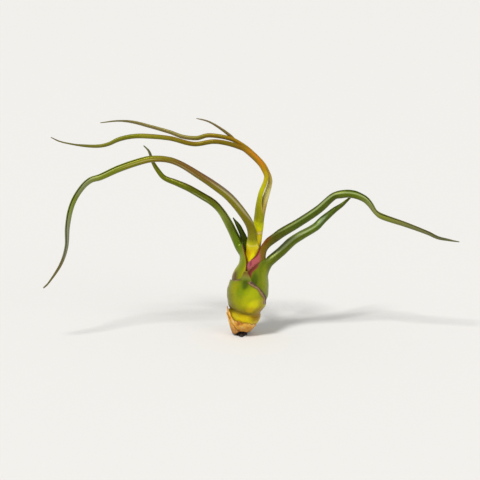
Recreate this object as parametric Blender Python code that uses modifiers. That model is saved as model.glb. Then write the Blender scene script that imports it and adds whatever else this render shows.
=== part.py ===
"""Tillandsia bulbosa, a small air plant that stands on its own foot.

Each leaf is one open sheet, thickened by a Solidify modifier. Low down the sheet
clasps the bulb as a sheath, and above its neck it rolls into a narrow blade.
Lengths are millimetres in the tables and are turned to metres in one place.
"""

import math

import bmesh
import bpy
from mathutils import Vector

MM = 0.001
WALL = 0.6
LAYER_PITCH = 0.92
FIRST_SHEATH_HEIGHT = 2.6
SHEATH_HEIGHT_STEP = 1.55
FLARE_SLOPE = 0.8
STEM_GAP = 0.35
SHEATH_HEIGHTS = (4, 6, 8, 10, 11.3, 12.6, 13.8, 15.2, 17, 19.5, 22, 25, 28, 32, 36, 41, 46, 53)
SHARED_HEIGHT_MARGIN = 0.8
FRONT_MARGIN_START = 23.0
AXIS_SAMPLE = 1.5
NECK_LENGTH = 6.0
NECK_SPANS = 3
NECK_STEP = 2.6
BLADE_STEP = 4.6
COLUMNS = 12
DRY_COLUMNS = 40
DRY_STEPS = 4
STEM_SIDES = 24
STEM_HEIGHTS = (0, 0.5, 1.4, 2.4, 3.6, 15.2)
SPLAY_HEIGHT = 3.0
ROUGHNESS = 0.45

# The plant was measured from the front, looking down a little, at this distance.
VIEW_TILT = math.radians(13.6)
VIEW_DISTANCE = 800.0
VIEW_CENTRE_UP = 47.0
VIEW_CENTRE_HEIGHT = 49.05

# Height and sideways lean of the line through the middle of the bulb and crown.
BULB_AXIS = [(0, 0), (1.4, 0), (3, 0.1), (10, 1.4), (15, 2.1), (19.5, 2.9), (22, 3.5), (25, 4.1),
             (28, 4.6), (32, 5.0), (38, 5.6), (46, 6.6), (54, 8.2), (61, 9.1), (70, 10.2)]

# Height and radius of the outermost bulb leaf. The inner ones follow it, one pitch in.
BULB_PROFILE = [(2.6, 4.0), (6, 6.4), (7.2, 7.15), (9.8, 8.2), (11.3, 8.35), (12.6, 8.05), (13.8, 8.5),
                (15.2, 9.15), (17, 9.8), (19.5, 10.4), (22, 10.9), (25, 10.6), (28, 10.0), (32, 9.55),
                (36, 9.05), (46, 8.4), (60, 8.3), (80, 8.3)]

# Height and radius of the short stem that all sheaths grow from.
STEM_PROFILE = [(0, 3.0), (0.5, 3.25), (1.4, 2.9), (3.6, 2.4), (15.2, 0.3)]

# The root toe in front of the foot: azimuth and reach, then height and the share left there.
TOE_REACH = [(225, 0), (240, 0.8), (255, 2.1), (270, 2.9), (285, 2.1), (300, 0.8), (315, 0)]
TOE_SHARE = [(0, 1.0), (0.5, 1.0), (1.4, 0.6), (2.4, 0.25), (3.6, 0)]

# The dry sheath round the foot: height and radius, then azimuth and height of its two rims.
DRY_PROFILE = [(1.2, 4.6), (2.6, 5.35), (4.6, 6.55), (6, 7.55), (7.2, 8.3), (9.8, 9.25), (14, 9.3)]
DRY_TOP_RIM = [(0, 4.9), (40, 5.0), (90, 5.2), (140, 6.2), (165, 8.4), (175, 12.2), (185, 13.0),
               (195, 10.0), (207, 8.4), (225, 7.3), (250, 8.0), (270, 8.3), (290, 7.8), (315, 6.0),
               (340, 4.7), (360, 4.9)]
DRY_FOOT_RIM = [(0, 1.6), (25, 1.1), (45, 0.39), (135, 0.21), (155, 0.9), (180, 1.3), (235, 1.5),
                (255, 2.7), (285, 2.8), (300, 1.7), (360, 1.6)]

# Azimuth and how far the dry sheath splays out behind, where its rim rests on the surface.
DRY_SPLAY = [(10, 0), (45, 2.0), (135, 2.0), (170, 0)]

COLOURS = {
    "stem": (0.02, 0.008, 0.003),
    "dry": (0.62, 0.32, 0.08),
    "yellow": (0.50, 0.42, 0.02),
    "green": (0.13, 0.22, 0.01),
    "dark_green": (0.05, 0.12, 0.01),
}


def table_value(table, at):
    """Value read from a table of pairs, by straight lines between its points."""
    if at <= table[0][0]:
        return table[0][1]
    for (low, start), (high, end) in zip(table, table[1:]):
        if at <= high:
            return start + (end - start) * (at - low) / (high - low)
    return table[-1][1]


def axis_point(height):
    """Point of the bulb's middle line at a height."""
    return Vector((table_value(BULB_AXIS, height), 0.0, height))


def axis_outward(height, azimuth):
    """Direction out of the bulb, square to its leaning middle line."""
    below = axis_point(max(height - AXIS_SAMPLE, 0))
    along = (axis_point(height + AXIS_SAMPLE) - below).normalized()
    angle = math.radians(azimuth)
    return Vector((-math.sin(angle), math.cos(angle), 0)).cross(along).normalized()


def seen_point(across, up, depth):
    """Point that shows ACROSS and UP of the foot in the front view and lies DEPTH behind it."""
    rise = up - VIEW_CENTRE_UP
    cosine, sine = math.cos(VIEW_TILT), math.sin(VIEW_TILT)
    height = rise * (1 + depth * cosine / VIEW_DISTANCE) - depth * sine
    height /= cosine + rise * sine / VIEW_DISTANCE
    scale = 1 + (depth * cosine - height * sine) / VIEW_DISTANCE
    return Vector((across * scale, depth, VIEW_CENTRE_HEIGHT + height))


def sheath_start(layer):
    """Height at which the sheath of a layer leaves the stem."""
    return FIRST_SHEATH_HEIGHT + SHEATH_HEIGHT_STEP * layer


def sheath_radius(layer, height):
    """Outer radius of a layer of the bulb at a height."""
    start = sheath_start(layer)
    on_stem = table_value(STEM_PROFILE, start) + STEM_GAP + WALL
    flare = on_stem + FLARE_SLOPE * (height - start)
    return min(table_value(BULB_PROFILE, height) - LAYER_PITCH * layer, flare)


def sheath_stations(leaf):
    """Rings of a leaf round the bulb's axis, at heights that the leaves share.

    The front leaf has heights of its own where its free margin runs down steeply.
    """
    first, last = leaf["sheath"][0][0], leaf["sheath"][-1][0]
    befores = [(height, before) for height, before, _after in leaf["sheath"]]
    afters = [(height, after) for height, _before, after in leaf["sheath"]]
    lowest, highest = first + SHARED_HEIGHT_MARGIN, last - SHARED_HEIGHT_MARGIN
    heights = [height for height in SHEATH_HEIGHTS if lowest < height < highest]
    if leaf["layer"] == 0:
        own = [height for height, _before in befores if height > FRONT_MARGIN_START]
        heights = [height for height in heights if height < FRONT_MARGIN_START] + own[:-1]
    stations = []
    for height in [first, *heights, last]:
        radius = sheath_radius(leaf["layer"] - table_value(leaf["swell"], height), height)
        half_angles = table_value(befores, height), table_value(afters, height)
        stations.append((*axis_point(height), radius, *half_angles, leaf["facing"]))
    return stations


def blade_stations(leaf):
    """Rings of a leaf past its neck, which lie round its own middle line."""
    stations = []
    for across, up, depth, radius, before, after, turn in leaf["blade"]:
        centre = seen_point(across, up, depth)
        azimuth = leaf["facing"] + (leaf["heading"] - leaf["facing"]) * turn
        stations.append((*centre, radius, before, after, azimuth))
    return stations


def smooth_value(points, places, span, at):
    """Cubic through four neighbouring stations, for one of their numbers."""
    def slope(index):
        low, high = max(index - 1, 0), min(index + 1, len(points) - 1)
        return (points[high] - points[low]) / (places[high] - places[low])

    width = places[span + 1] - places[span]
    t = (at - places[span]) / width
    start, end = points[span], points[span + 1]
    value = (2 * t ** 3 - 3 * t ** 2 + 1) * start + (3 * t ** 2 - 2 * t ** 3) * end
    value += (t ** 3 - 2 * t ** 2 + t) * width * slope(span)
    return value + (t ** 3 - t ** 2) * width * slope(span + 1)


def resample(stations, neck_start):
    """Rings along a smooth curve through the stations, closer together at the neck."""
    places = [0.0]
    for first, second in zip(stations, stations[1:]):
        places.append(places[-1] + (Vector(second[:3]) - Vector(first[:3])).length)
    columns = list(zip(*stations))
    rings = []
    for span in range(len(stations) - 1):
        step = NECK_STEP if span < neck_start + NECK_SPANS else BLADE_STEP
        count = 1 if span < neck_start else max(1, round((places[span + 1] - places[span]) / step))
        for part in range(count):
            at = places[span] + (places[span + 1] - places[span]) * part / count
            rings.append([smooth_value(column, places, span, at) for column in columns])
    rings.append(list(stations[-1]))
    return rings


def ring_frame(rings, index):
    """Outward and sideways directions of a ring's section."""
    low, high = max(index - 1, 0), min(index + 1, len(rings) - 1)
    along = (Vector(rings[high][:3]) - Vector(rings[low][:3])).normalized()
    azimuth = math.radians(rings[index][6])
    side = Vector((-math.sin(azimuth), math.cos(azimuth), 0))
    outward = side.cross(along).normalized()
    return outward, along.cross(outward)


def keep_outside(point, leaf):
    """Point moved out from the bulb's axis where it would cut the layers inside."""
    centre = axis_point(point.z)
    offset = point - centre
    past_neck = (point.z - leaf["sheath"][-1][0]) / NECK_LENGTH
    share = min(max(past_neck, 0.0), 1.0)
    least = sheath_radius(leaf["layer"] + (leaf["clears"] - leaf["layer"]) * share, point.z)
    if offset.length >= least:
        return point
    return centre + offset.normalized() * least


def leaf_rows(leaf):
    """Rows of points on the outer face of a leaf, from its base to its tip."""
    sheath = sheath_stations(leaf)
    rings = resample(sheath + blade_stations(leaf), len(sheath) - 1)
    rows = []
    for index, (x, y, z, radius, before, after, _azimuth) in enumerate(rings):
        outward, sideways = ring_frame(rings, index)
        row = []
        for column in range(COLUMNS + 1):
            angle = math.radians(-before + (before + after) * column / COLUMNS)
            point = Vector((x, y, z)) + radius * (math.cos(angle) * outward + math.sin(angle) * sideways)
            if len(sheath) <= index and z < leaf["free_height"]:
                point = keep_outside(point, leaf)
            row.append(point)
        rows.append(row)
    return rows


def sheet_object(name, rows, closed, material, collection):
    """Object made of one sheet of quads, with a Solidify modifier for its wall."""
    sheet = bmesh.new()
    grid = [[sheet.verts.new(point * MM) for point in row] for row in rows]
    for lower, upper in zip(grid, grid[1:]):
        count = len(lower)
        for column in range(count if closed else count - 1):
            after = (column + 1) % count
            sheet.faces.new((lower[column], lower[after], upper[after], upper[column]))
    mesh = bpy.data.meshes.new(name)
    sheet.to_mesh(mesh)
    sheet.free()
    mesh.shade_smooth()
    mesh.materials.append(material)
    item = bpy.data.objects.new(name, mesh)
    collection.objects.link(item)
    wall = item.modifiers.new("Wall", "SOLIDIFY")
    wall.thickness = WALL * MM
    wall.offset = -1
    wall.use_even_offset = True
    return item


def make_leaf(leaf, materials, collection):
    """One leaf, sheath and blade in one solid."""
    return sheet_object(leaf["name"], leaf_rows(leaf), False, materials[leaf["colour"]], collection)


def make_dry_sheath(material, collection):
    """Dry papery sheath round the foot: an open cup with an uneven rim and a flap on the left."""
    rows = []
    for step in range(DRY_STEPS + 1):
        row = []
        for column in range(DRY_COLUMNS):
            azimuth = 360 * column / DRY_COLUMNS
            foot, top = table_value(DRY_FOOT_RIM, azimuth), table_value(DRY_TOP_RIM, azimuth)
            height = foot + (top - foot) * step / DRY_STEPS
            outward = axis_outward(height, azimuth)
            splay = table_value(DRY_SPLAY, azimuth) * max(1 - height / SPLAY_HEIGHT, 0)
            radius = table_value(DRY_PROFILE, height) + splay
            row.append(axis_point(height) + outward * radius)
        rows.append(row)
    return sheet_object("sheath_dry_basal", rows, True, material, collection)


def make_stem(material, collection):
    """Short woody stem: a loft from a flat foot with a root toe in front to a thin round top."""
    stem = bmesh.new()
    grid = []
    for height in STEM_HEIGHTS:
        ring = []
        for column in range(STEM_SIDES):
            azimuth = 360 * column / STEM_SIDES
            angle = math.radians(azimuth)
            reach = table_value(TOE_REACH, azimuth) * table_value(TOE_SHARE, height)
            radius = table_value(STEM_PROFILE, height) + reach
            outward = Vector((math.cos(angle), math.sin(angle), 0))
            ring.append(stem.verts.new((axis_point(height) + outward * radius) * MM))
        grid.append(ring)
    for lower, upper in zip(grid, grid[1:]):
        for column in range(STEM_SIDES):
            after = (column + 1) % STEM_SIDES
            stem.faces.new((lower[column], lower[after], upper[after], upper[column]))
    stem.faces.new(list(reversed(grid[0])))
    stem.faces.new(grid[-1])
    mesh = bpy.data.meshes.new("stem_stub")
    stem.to_mesh(mesh)
    stem.free()
    mesh.materials.append(material)
    item = bpy.data.objects.new("stem_stub", mesh)
    collection.objects.link(item)
    return item


def make_material(name, colour):
    """Plain material of one colour."""
    material = bpy.data.materials.new(name)
    material.use_nodes = True
    shader = material.node_tree.nodes["Principled BSDF"]
    shader.inputs["Base Color"].default_value = (*colour, 1.0)
    shader.inputs["Roughness"].default_value = ROUGHNESS
    shader.inputs["Metallic"].default_value = 0.0
    return material


# Sheath rows: height, half angle before and after the midrib (degrees).
# Blade rows: across, up and depth as seen from the front, radius, half angles before and
# after, share of the turn from the facing azimuth to the heading azimuth.
LEAVES = [
    {
        "name": "leaf_front_bulb", "colour": "green",
        "layer": 0, "clears": 0, "free_height": 0, "swell": [(0, 0)],
        "facing": 261, "heading": 261,
        "sheath": [(2.6, 115, 115), (12, 118, 118), (15.2, 116, 112), (17, 112, 104),
                   (20.5, 110, 88), (24, 106, 68), (25.5, 94, 58), (26.5, 77, 50), (27.5, 58, 42),
                   (28.5, 39, 34), (29.7, 21, 26), (31, 11, 13), (33, 9, 9), (35, 7, 7)],
        "blade": [],
    },
    {
        "name": "leaf_right_low", "colour": "dark_green",
        "layer": 1, "clears": 2, "free_height": 42, "swell": [(0, 0)],
        "facing": 5, "heading": 10,
        "sheath": [(4.15, 95, 95), (9, 102, 102), (13.4, 105, 105), (15.2, 106, 106), (18, 108, 106),
                   (22, 109, 99), (25, 109, 91), (28, 109, 85)],
        "blade": [
            (6.75, 32.5, 0.0, 7.4, 108, 84, 0.2),
            (10.5, 34.25, 0.3, 4.6, 95, 84, 0.5),
            (13.6, 35.8, 0.8, 2.5, 112, 105, 0.8),
            (16.6, 39.0, 1.8, 2.4, 140, 140, 1.0),
            (20.45, 42.5, 2.9, 2.35, 150, 150, 1.0),
            (24.6, 46.5, 4.7, 2.35, 152, 152, 1.0),
            (29.05, 49.5, 6.4, 2.35, 152, 152, 1.0),
            (33.75, 52.0, 8.2, 2.25, 152, 152, 1.0),
            (37.25, 54.0, 9.9, 2.0, 150, 150, 1.0),
            (40.55, 57.0, 11.7, 1.85, 150, 150, 1.0),
            (46.75, 62.2, 14.6, 1.25, 145, 145, 1.0),
            (50.1, 64.5, 16.2, 0.95, 95, 95, 1.0),
            (53.95, 68.0, 17.8, 0.9, 18, 18, 1.0),
        ],
    },
    {
        "name": "leaf_left_low", "colour": "dark_green",
        "layer": 2, "clears": 3, "free_height": 47, "swell": [(25.5, 0), (28.5, 0.9)],
        "facing": 170, "heading": 160,
        "sheath": [(5.7, 92, 92), (10, 100, 100), (13.4, 103, 103), (15.2, 102, 104), (18, 96, 102),
                   (22, 86, 94), (25, 78, 83), (28.5, 72, 79)],
        "blade": [
            (4.9, 31.0, 0.0, 8.1, 70, 78, 0.0),
            (5.2, 35.0, 0.3, 6.75, 68, 76, 0.0),
            (4.25, 38.75, 0.9, 5.4, 64, 72, 0.2),
            (1.75, 41.75, 1.8, 4.0, 70, 72, 0.4),
            (-1.0, 44.0, 3.0, 2.4, 120, 120, 0.7),
            (-3.45, 48.5, 4.8, 2.15, 148, 148, 1.0),
            (-6.9, 55.6, 8.2, 1.95, 150, 150, 1.0),
            (-10.25, 61.5, 10.9, 1.8, 150, 150, 1.0),
            (-14.05, 66.0, 12.6, 2.0, 150, 150, 1.0),
            (-19.75, 69.5, 14.4, 2.0, 150, 150, 1.0),
            (-26.05, 73.15, 16.1, 1.9, 150, 150, 1.0),
            (-32.4, 76.0, 17.9, 1.75, 150, 150, 1.0),
            (-38.75, 78.35, 19.6, 1.5, 148, 148, 1.0),
            (-41.95, 82.0, 20.5, 1.2, 140, 140, 1.0),
            (-44.25, 86.0, 21.0, 1.0, 115, 115, 1.0),
            (-46.25, 91.5, 21.6, 0.9, 55, 55, 1.0),
            (-48.75, 94.3, 21.9, 0.9, 18, 18, 1.0),
        ],
    },
    {
        "name": "leaf_right_high", "colour": "green",
        "layer": 3, "clears": 4, "free_height": 52, "swell": [(0, 0)],
        "facing": 350, "heading": 356,
        "sheath": [(7.25, 90, 90), (12, 98, 98), (15.2, 102, 102), (18, 104, 104), (22, 106, 104),
                   (28, 104, 100), (34, 103, 96)],
        "blade": [
            (6.8, 38.8, 0.0, 5.6, 108, 92, 0.1),
            (9.2, 42.0, -0.2, 4.1, 99, 84, 0.4),
            (12.4, 44.2, -0.5, 2.6, 100, 104, 0.8),
            (16.25, 47.35, -0.7, 2.2, 140, 140, 1.0),
            (20.25, 50.85, -1.3, 2.05, 150, 150, 1.0),
            (29.05, 56.0, -1.7, 1.9, 152, 152, 1.0),
            (38.75, 62.5, -2.3, 1.9, 152, 152, 1.0),
            (46.25, 69.0, -2.7, 1.85, 152, 152, 1.0),
            (49.75, 70.05, -2.9, 1.85, 152, 152, 1.0),
            (53.25, 70.4, -3.0, 1.85, 152, 152, 1.0),
            (57.25, 69.65, -3.3, 1.8, 152, 152, 1.0),
            (61.25, 67.0, -3.4, 1.7, 150, 150, 1.0),
            (64.0, 64.25, -3.5, 1.5, 148, 148, 1.0),
            (67.0, 60.5, -3.7, 1.15, 140, 140, 1.0),
            (70.0, 59.0, -3.8, 1.45, 135, 135, 1.0),
            (75.25, 57.0, -4.0, 1.4, 140, 140, 1.0),
            (81.25, 55.0, -4.2, 1.3, 145, 145, 1.0),
            (93.25, 50.5, -4.7, 1.0, 118, 118, 1.0),
            (98.25, 48.3, -4.8, 0.9, 50, 50, 1.0),
            (104.25, 47.1, -5.0, 0.9, 26, 26, 1.0),
            (109.25, 46.3, -5.2, 0.9, 14, 14, 1.0),
        ],
    },
    {
        "name": "leaf_back_short", "colour": "dark_green",
        "layer": 4, "clears": 4, "free_height": 52, "swell": [(0, 0)],
        "facing": 130, "heading": 140,
        "sheath": [(8.8, 88, 88), (15.2, 96, 96), (18, 98, 98), (22, 100, 100), (30, 92, 98),
                   (36, 70, 90)],
        "blade": [
            (5.0, 39.5, 0.8, 4.9, 56, 80, 0.1),
            (3.9, 44.0, 1.8, 4.0, 60, 70, 0.3),
            (2.2, 47.0, 4.0, 2.5, 74, 74, 0.6),
            (0.4, 50.5, 6.0, 1.6, 100, 100, 1.0),
            (-1.4, 54.0, 7.5, 1.3, 108, 108, 1.0),
            (-2.85, 56.85, 8.3, 1.0, 60, 60, 1.0),
            (-3.75, 58.5, 8.6, 0.9, 18, 18, 1.0),
        ],
    },
    {
        "name": "leaf_left_high", "colour": "green",
        "layer": 5, "clears": 5, "free_height": 57, "swell": [(0, 0)],
        "facing": 255, "heading": 185,
        "sheath": [(10.35, 85, 85), (15.2, 95, 95), (18, 100, 100), (22, 104, 104), (30, 105, 105),
                   (38, 102, 102), (43, 98, 98)],
        "blade": [
            (5.9, 43.75, -1.2, 3.6, 82, 82, 0.1),
            (5.4, 46.5, -3.0, 2.9, 75, 75, 0.25),
            (5.5, 49.5, -4.7, 2.3, 100, 100, 0.45),
            (4.5, 54.0, -5.7, 2.15, 138, 138, 0.7),
            (1.5, 59.25, -6.6, 2.15, 150, 150, 0.9),
            (-6.25, 68.5, -7.0, 2.1, 152, 152, 1.0),
            (-14.25, 74.75, -7.3, 2.0, 152, 152, 1.0),
            (-22.25, 80.0, -7.6, 1.8, 152, 152, 1.0),
            (-30.0, 84.7, -7.9, 1.6, 150, 150, 1.0),
            (-35.75, 87.0, -8.3, 1.55, 150, 150, 1.0),
            (-41.95, 87.65, -8.7, 1.5, 150, 150, 1.0),
            (-48.25, 86.7, -9.1, 1.5, 150, 150, 1.0),
            (-61.25, 82.7, -9.8, 1.55, 150, 150, 1.0),
            (-70.75, 78.75, -10.5, 1.6, 150, 150, 1.0),
            (-75.45, 77.15, -10.7, 1.6, 150, 150, 1.0),
            (-79.45, 73.5, -11.1, 1.55, 150, 150, 1.0),
            (-83.45, 67.5, -11.5, 1.5, 150, 150, 1.0),
            (-85.75, 61.2, -11.7, 1.4, 148, 148, 1.0),
            (-87.1, 53.0, -12.1, 1.0, 135, 135, 1.0),
            (-87.6, 43.5, -12.6, 0.9, 105, 105, 1.0),
            (-90.55, 34.8, -13.0, 0.9, 60, 60, 1.0),
            (-97.1, 25.5, -13.6, 0.9, 25, 25, 1.0),
            (-99.5, 23.4, -13.9, 0.9, 14, 14, 1.0),
        ],
    },
    {
        "name": "leaf_crown_outer", "colour": "yellow",
        "layer": 6, "clears": 6, "free_height": 0, "swell": [(0, 0)],
        "facing": 200, "heading": 180,
        "sheath": [(11.9, 80, 80), (16, 95, 95), (22, 105, 105), (30, 112, 112), (38, 118, 118),
                   (46, 122, 122), (54, 125, 125), (61, 122, 122)],
        "blade": [
            (9.0, 64.0, -0.6, 2.1, 102, 102, 0.4),
            (9.6, 68.0, -1.2, 1.75, 105, 105, 0.7),
            (10.3, 72.0, -1.6, 1.5, 128, 128, 1.0),
            (12.15, 75.75, -1.7, 1.25, 142, 142, 1.0),
            (12.5, 78.75, -1.7, 1.2, 146, 146, 1.0),
            (11.5, 81.5, -1.7, 1.2, 148, 148, 1.0),
            (8.9, 85.25, -1.7, 1.2, 148, 148, 1.0),
            (2.0, 91.5, -1.8, 1.2, 148, 148, 1.0),
            (-0.5, 93.0, -1.8, 1.2, 148, 148, 1.0),
            (-7.75, 95.5, -1.9, 1.2, 148, 148, 1.0),
            (-14.25, 96.25, -2.0, 1.2, 148, 148, 1.0),
            (-23.75, 95.0, -2.1, 1.2, 148, 148, 1.0),
            (-35.75, 97.85, -2.3, 1.2, 148, 148, 1.0),
            (-48.25, 99.0, -2.4, 1.25, 148, 148, 1.0),
            (-54.75, 98.8, -2.5, 1.2, 148, 148, 1.0),
            (-61.25, 97.5, -2.6, 1.1, 145, 145, 1.0),
            (-66.75, 95.0, -2.6, 1.0, 130, 130, 1.0),
            (-71.45, 94.0, -2.7, 0.95, 118, 118, 1.0),
            (-77.75, 94.0, -2.7, 0.9, 90, 90, 1.0),
            (-84.25, 95.0, -2.8, 0.9, 55, 55, 1.0),
            (-91.0, 96.5, -2.8, 0.9, 28, 28, 1.0),
            (-95.0, 98.5, -2.9, 0.9, 14, 14, 1.0),
        ],
    },
    {
        "name": "leaf_crown_middle", "colour": "green",
        "layer": 7, "clears": 7, "free_height": 0, "swell": [(0, 0)],
        "facing": 240, "heading": 185,
        "sheath": [(13.45, 75, 75), (17, 90, 90), (22, 100, 100), (30, 106, 106), (38, 110, 110),
                   (46, 112, 112), (54, 112, 112), (61, 110, 110)],
        "blade": [
            (10.4, 64.5, 0.2, 1.25, 108, 108, 0.2),
            (11.6, 68.0, 0.6, 1.2, 112, 112, 0.5),
            (12.95, 71.75, 1.0, 1.2, 128, 128, 0.8),
            (14.25, 75.25, 1.5, 1.15, 142, 142, 1.0),
            (14.25, 78.0, 1.6, 1.15, 145, 145, 1.0),
            (13.25, 80.75, 1.6, 1.15, 145, 145, 1.0),
            (10.5, 84.75, 1.6, 1.15, 145, 145, 1.0),
            (3.5, 91.5, 1.6, 1.15, 145, 145, 1.0),
            (-1.25, 95.6, 1.6, 1.15, 145, 145, 1.0),
            (-5.25, 97.6, 1.6, 1.15, 145, 145, 1.0),
            (-11.75, 99.0, 2.0, 1.15, 145, 145, 1.0),
            (-17.25, 99.3, 2.5, 1.15, 145, 145, 1.0),
            (-22.25, 98.0, 3.2, 1.15, 145, 145, 1.0),
            (-29.25, 98.65, 4.9, 1.1, 145, 145, 1.0),
            (-35.75, 101.0, 6.7, 1.05, 140, 140, 1.0),
            (-48.25, 104.65, 10.0, 0.95, 115, 115, 1.0),
            (-54.75, 106.25, 11.7, 0.9, 85, 85, 1.0),
            (-61.25, 106.8, 13.3, 0.9, 50, 50, 1.0),
            (-70.75, 105.85, 15.8, 0.9, 14, 14, 1.0),
        ],
    },
    {
        "name": "leaf_crown_inner", "colour": "green",
        "layer": 8, "clears": 8, "free_height": 0, "swell": [(0, 0)],
        "facing": 60, "heading": 180,
        "sheath": [(15.0, 70, 70), (18, 85, 85), (22, 100, 100), (30, 108, 108), (38, 110, 110),
                   (46, 105, 105), (54, 90, 90), (61, 80, 80)],
        "blade": [
            (10.6, 64.5, 1.5, 0.9, 45, 45, 0.1),
            (11.7, 68.0, 2.9, 0.9, 42, 42, 0.3),
            (12.9, 72.0, 3.7, 0.9, 42, 42, 0.5),
            (14.25, 76.0, 4.2, 0.9, 42, 42, 0.8),
            (13.4, 80.5, 4.3, 0.9, 42, 42, 1.0),
            (10.5, 84.75, 4.3, 0.9, 42, 42, 1.0),
            (3.5, 91.5, 4.2, 0.9, 42, 42, 1.0),
            (-2.1, 96.9, 3.7, 0.9, 42, 42, 1.0),
            (-3.75, 98.0, 3.5, 0.9, 40, 40, 1.0),
            (-10.25, 102.0, 3.3, 0.9, 35, 35, 1.0),
            (-16.45, 106.25, 3.1, 0.9, 26, 26, 1.0),
            (-22.75, 108.0, 3.0, 0.9, 14, 14, 1.0),
        ],
    },
]


def clear_scene():
    """Removes the start-up objects."""
    for item in list(bpy.data.objects):
        bpy.data.objects.remove(item)


def main():
    """Builds the plant in a collection of its own."""
    clear_scene()
    collection = bpy.data.collections.new("tillandsia_bulbosa")
    bpy.context.scene.collection.children.link(collection)
    materials = {name: make_material(name, colour) for name, colour in COLOURS.items()}
    make_stem(materials["stem"], collection)
    make_dry_sheath(materials["dry"], collection)
    for leaf in LEAVES:
        make_leaf(leaf, materials, collection)


main()
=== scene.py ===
"""Tillandsia bulbosa: a small air plant with an inflated bulb and rolled, twisting leaves.

Each leaf is a fine sheet: a wide sheath that clasps the bulb and, above its neck, a blade
that is rolled into a channel. Lengths in the tables are millimetres.
"""

import math

import bpy
from bpy.props import FloatProperty, FloatVectorProperty, IntProperty, PointerProperty
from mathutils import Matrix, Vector, noise
from mathutils.kdtree import KDTree


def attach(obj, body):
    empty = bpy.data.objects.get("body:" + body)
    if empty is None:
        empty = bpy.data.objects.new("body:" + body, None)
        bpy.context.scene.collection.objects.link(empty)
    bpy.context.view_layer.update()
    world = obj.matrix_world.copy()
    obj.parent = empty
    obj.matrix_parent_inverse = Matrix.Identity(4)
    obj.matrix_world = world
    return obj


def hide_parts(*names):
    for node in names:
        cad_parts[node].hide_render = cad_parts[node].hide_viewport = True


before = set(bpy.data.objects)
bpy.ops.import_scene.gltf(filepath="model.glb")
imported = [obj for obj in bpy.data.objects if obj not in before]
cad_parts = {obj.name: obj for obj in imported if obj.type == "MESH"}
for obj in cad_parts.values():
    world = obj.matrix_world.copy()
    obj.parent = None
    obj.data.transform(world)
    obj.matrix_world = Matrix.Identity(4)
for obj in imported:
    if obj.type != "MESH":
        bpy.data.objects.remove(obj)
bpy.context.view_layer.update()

bl_info = {
    "name": "Tillandsia Bulbosa",
    "version": (1, 0, 0),
    "blender": (4, 5, 0),
    "location": "View3D > Sidebar > Air Plant",
    "description": "Models a small air plant with a bulb of clasping sheaths and rolled leaves",
    "category": "Object",
}

MM = 0.001
WELD_DISTANCE = 0.000001

# How the sheaths nest on the stem, and how finely the rings of a leaf are set and smoothed.
LAYER_PITCH = 0.92
FIRST_SHEATH_HEIGHT = 2.6
SHEATH_HEIGHT_STEP = 1.55
FLARE_SLOPE = 0.8
STEM_GAP = 0.35
SHEATH_WALL = 0.6
SHEATH_HEIGHTS = (4, 6, 8, 10, 11.3, 12.6, 13.8, 15.2, 17, 19.5, 22, 25, 28, 32, 36, 41, 46, 53)
SHARED_HEIGHT_MARGIN = 0.8
FRONT_MARGIN_START = 23.0
AXIS_SAMPLE = 1.5
NECK_LENGTH = 6.0
SHEATH_SHARE = 0.25
BULB_REACH = 14.0
FRAME_REACH = 2
NECK_SPAN = (0.22, 0.42)
NECK_PASSES = 10

# Waves that ripple a leaf's section, along it and round it, and how they differ from leaf to leaf.
RIPPLE_ALONG, RIPPLE_ROUND = 40, 0.8
RIPPLE_SEED, LAYER_SEED = (4.1, 0.7), 17.3

# How much of a leaf's columns are evenly spread, and where its wall grows thin: by the distance
# from a margin, at the start of the blade, and by how much at the tip.
EVEN_COLUMNS = 0.45
MARGIN_TAPER = (-0.3, 1.6)
BLADE_WALL_SPAN = 0.2
TIP_START, TIP_THINNING = 0.97, 0.6

# A mark is at full strength out to this share of its reach.
MARK_CORE = 0.35

# Place in a drying margin where there is none, its fade along the leaf and its least width.
NO_BAND = 3.0
BAND_FADE = 0.03
LEAST_BAND = 0.02

# The plant was measured from the front, looking down a little, at this distance.
VIEW_TILT = math.radians(13.6)
VIEW_DISTANCE = 800.0
VIEW_CENTRE_UP = 47.0
VIEW_CENTRE = (-0.75, 0.0, 49.05)

# Height and sideways lean of the line through the middle of the bulb and crown.
BULB_AXIS = [
    (0, 0), (1.4, 0), (3, 0.1), (10, 1.4), (15, 2.1), (19.5, 2.9), (22, 3.5), (25, 4.1), (28, 4.6),
    (32, 5), (38, 5.6), (46, 6.6), (54, 8.2), (61, 9.1), (70, 10.2)]

# Height and radius of the outermost bulb leaf. The inner ones follow it, one pitch in.
BULB_PROFILE = [
    (2.6, 4), (6, 6.4), (7.2, 7.15), (9.8, 8.2), (11.3, 8.35), (12.6, 8.05), (13.8, 8.5),
    (15.2, 9.15), (17, 9.8), (19.5, 10.4), (22, 10.9), (25, 10.6), (28, 10), (32, 9.55), (36, 9.05),
    (46, 8.4), (60, 8.3), (80, 8.3)]

# Azimuth and height of the crease under the bulb's main swelling, and how it is cut.
CREASE = [
    (0, 12.9), (190, 12.8), (231, 13.1), (250, 13), (270, 12.5), (290, 11.7), (314, 11.9),
    (345, 12.8), (360, 12.9)]
CREASE_HEIGHT = 12.6
CREASE_REACH = 5.0
CREASE_DEPTH = 0.45
CREASE_WIDTH = 1.3

# Height and radius of the short stem that all sheaths grow from. A root toe reaches out in front.
STEM_PROFILE = [(0, 3), (0.5, 3.25), (1.4, 2.9), (3.6, 2.4), (15.2, 0.3)]
STUB_TOP, STUB_ROWS, STUB_CROWDING = 5.0, 14, 1.4
TOE_REACH = [(225, 0), (242, 0.5), (256, 1.7), (268, 2.9), (280, 2.2), (296, 0.6), (315, 0)]
TOE_SHARE = [(0, 1), (0.5, 1), (1.4, 0.6), (2.4, 0.25), (3.6, 0)]

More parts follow.
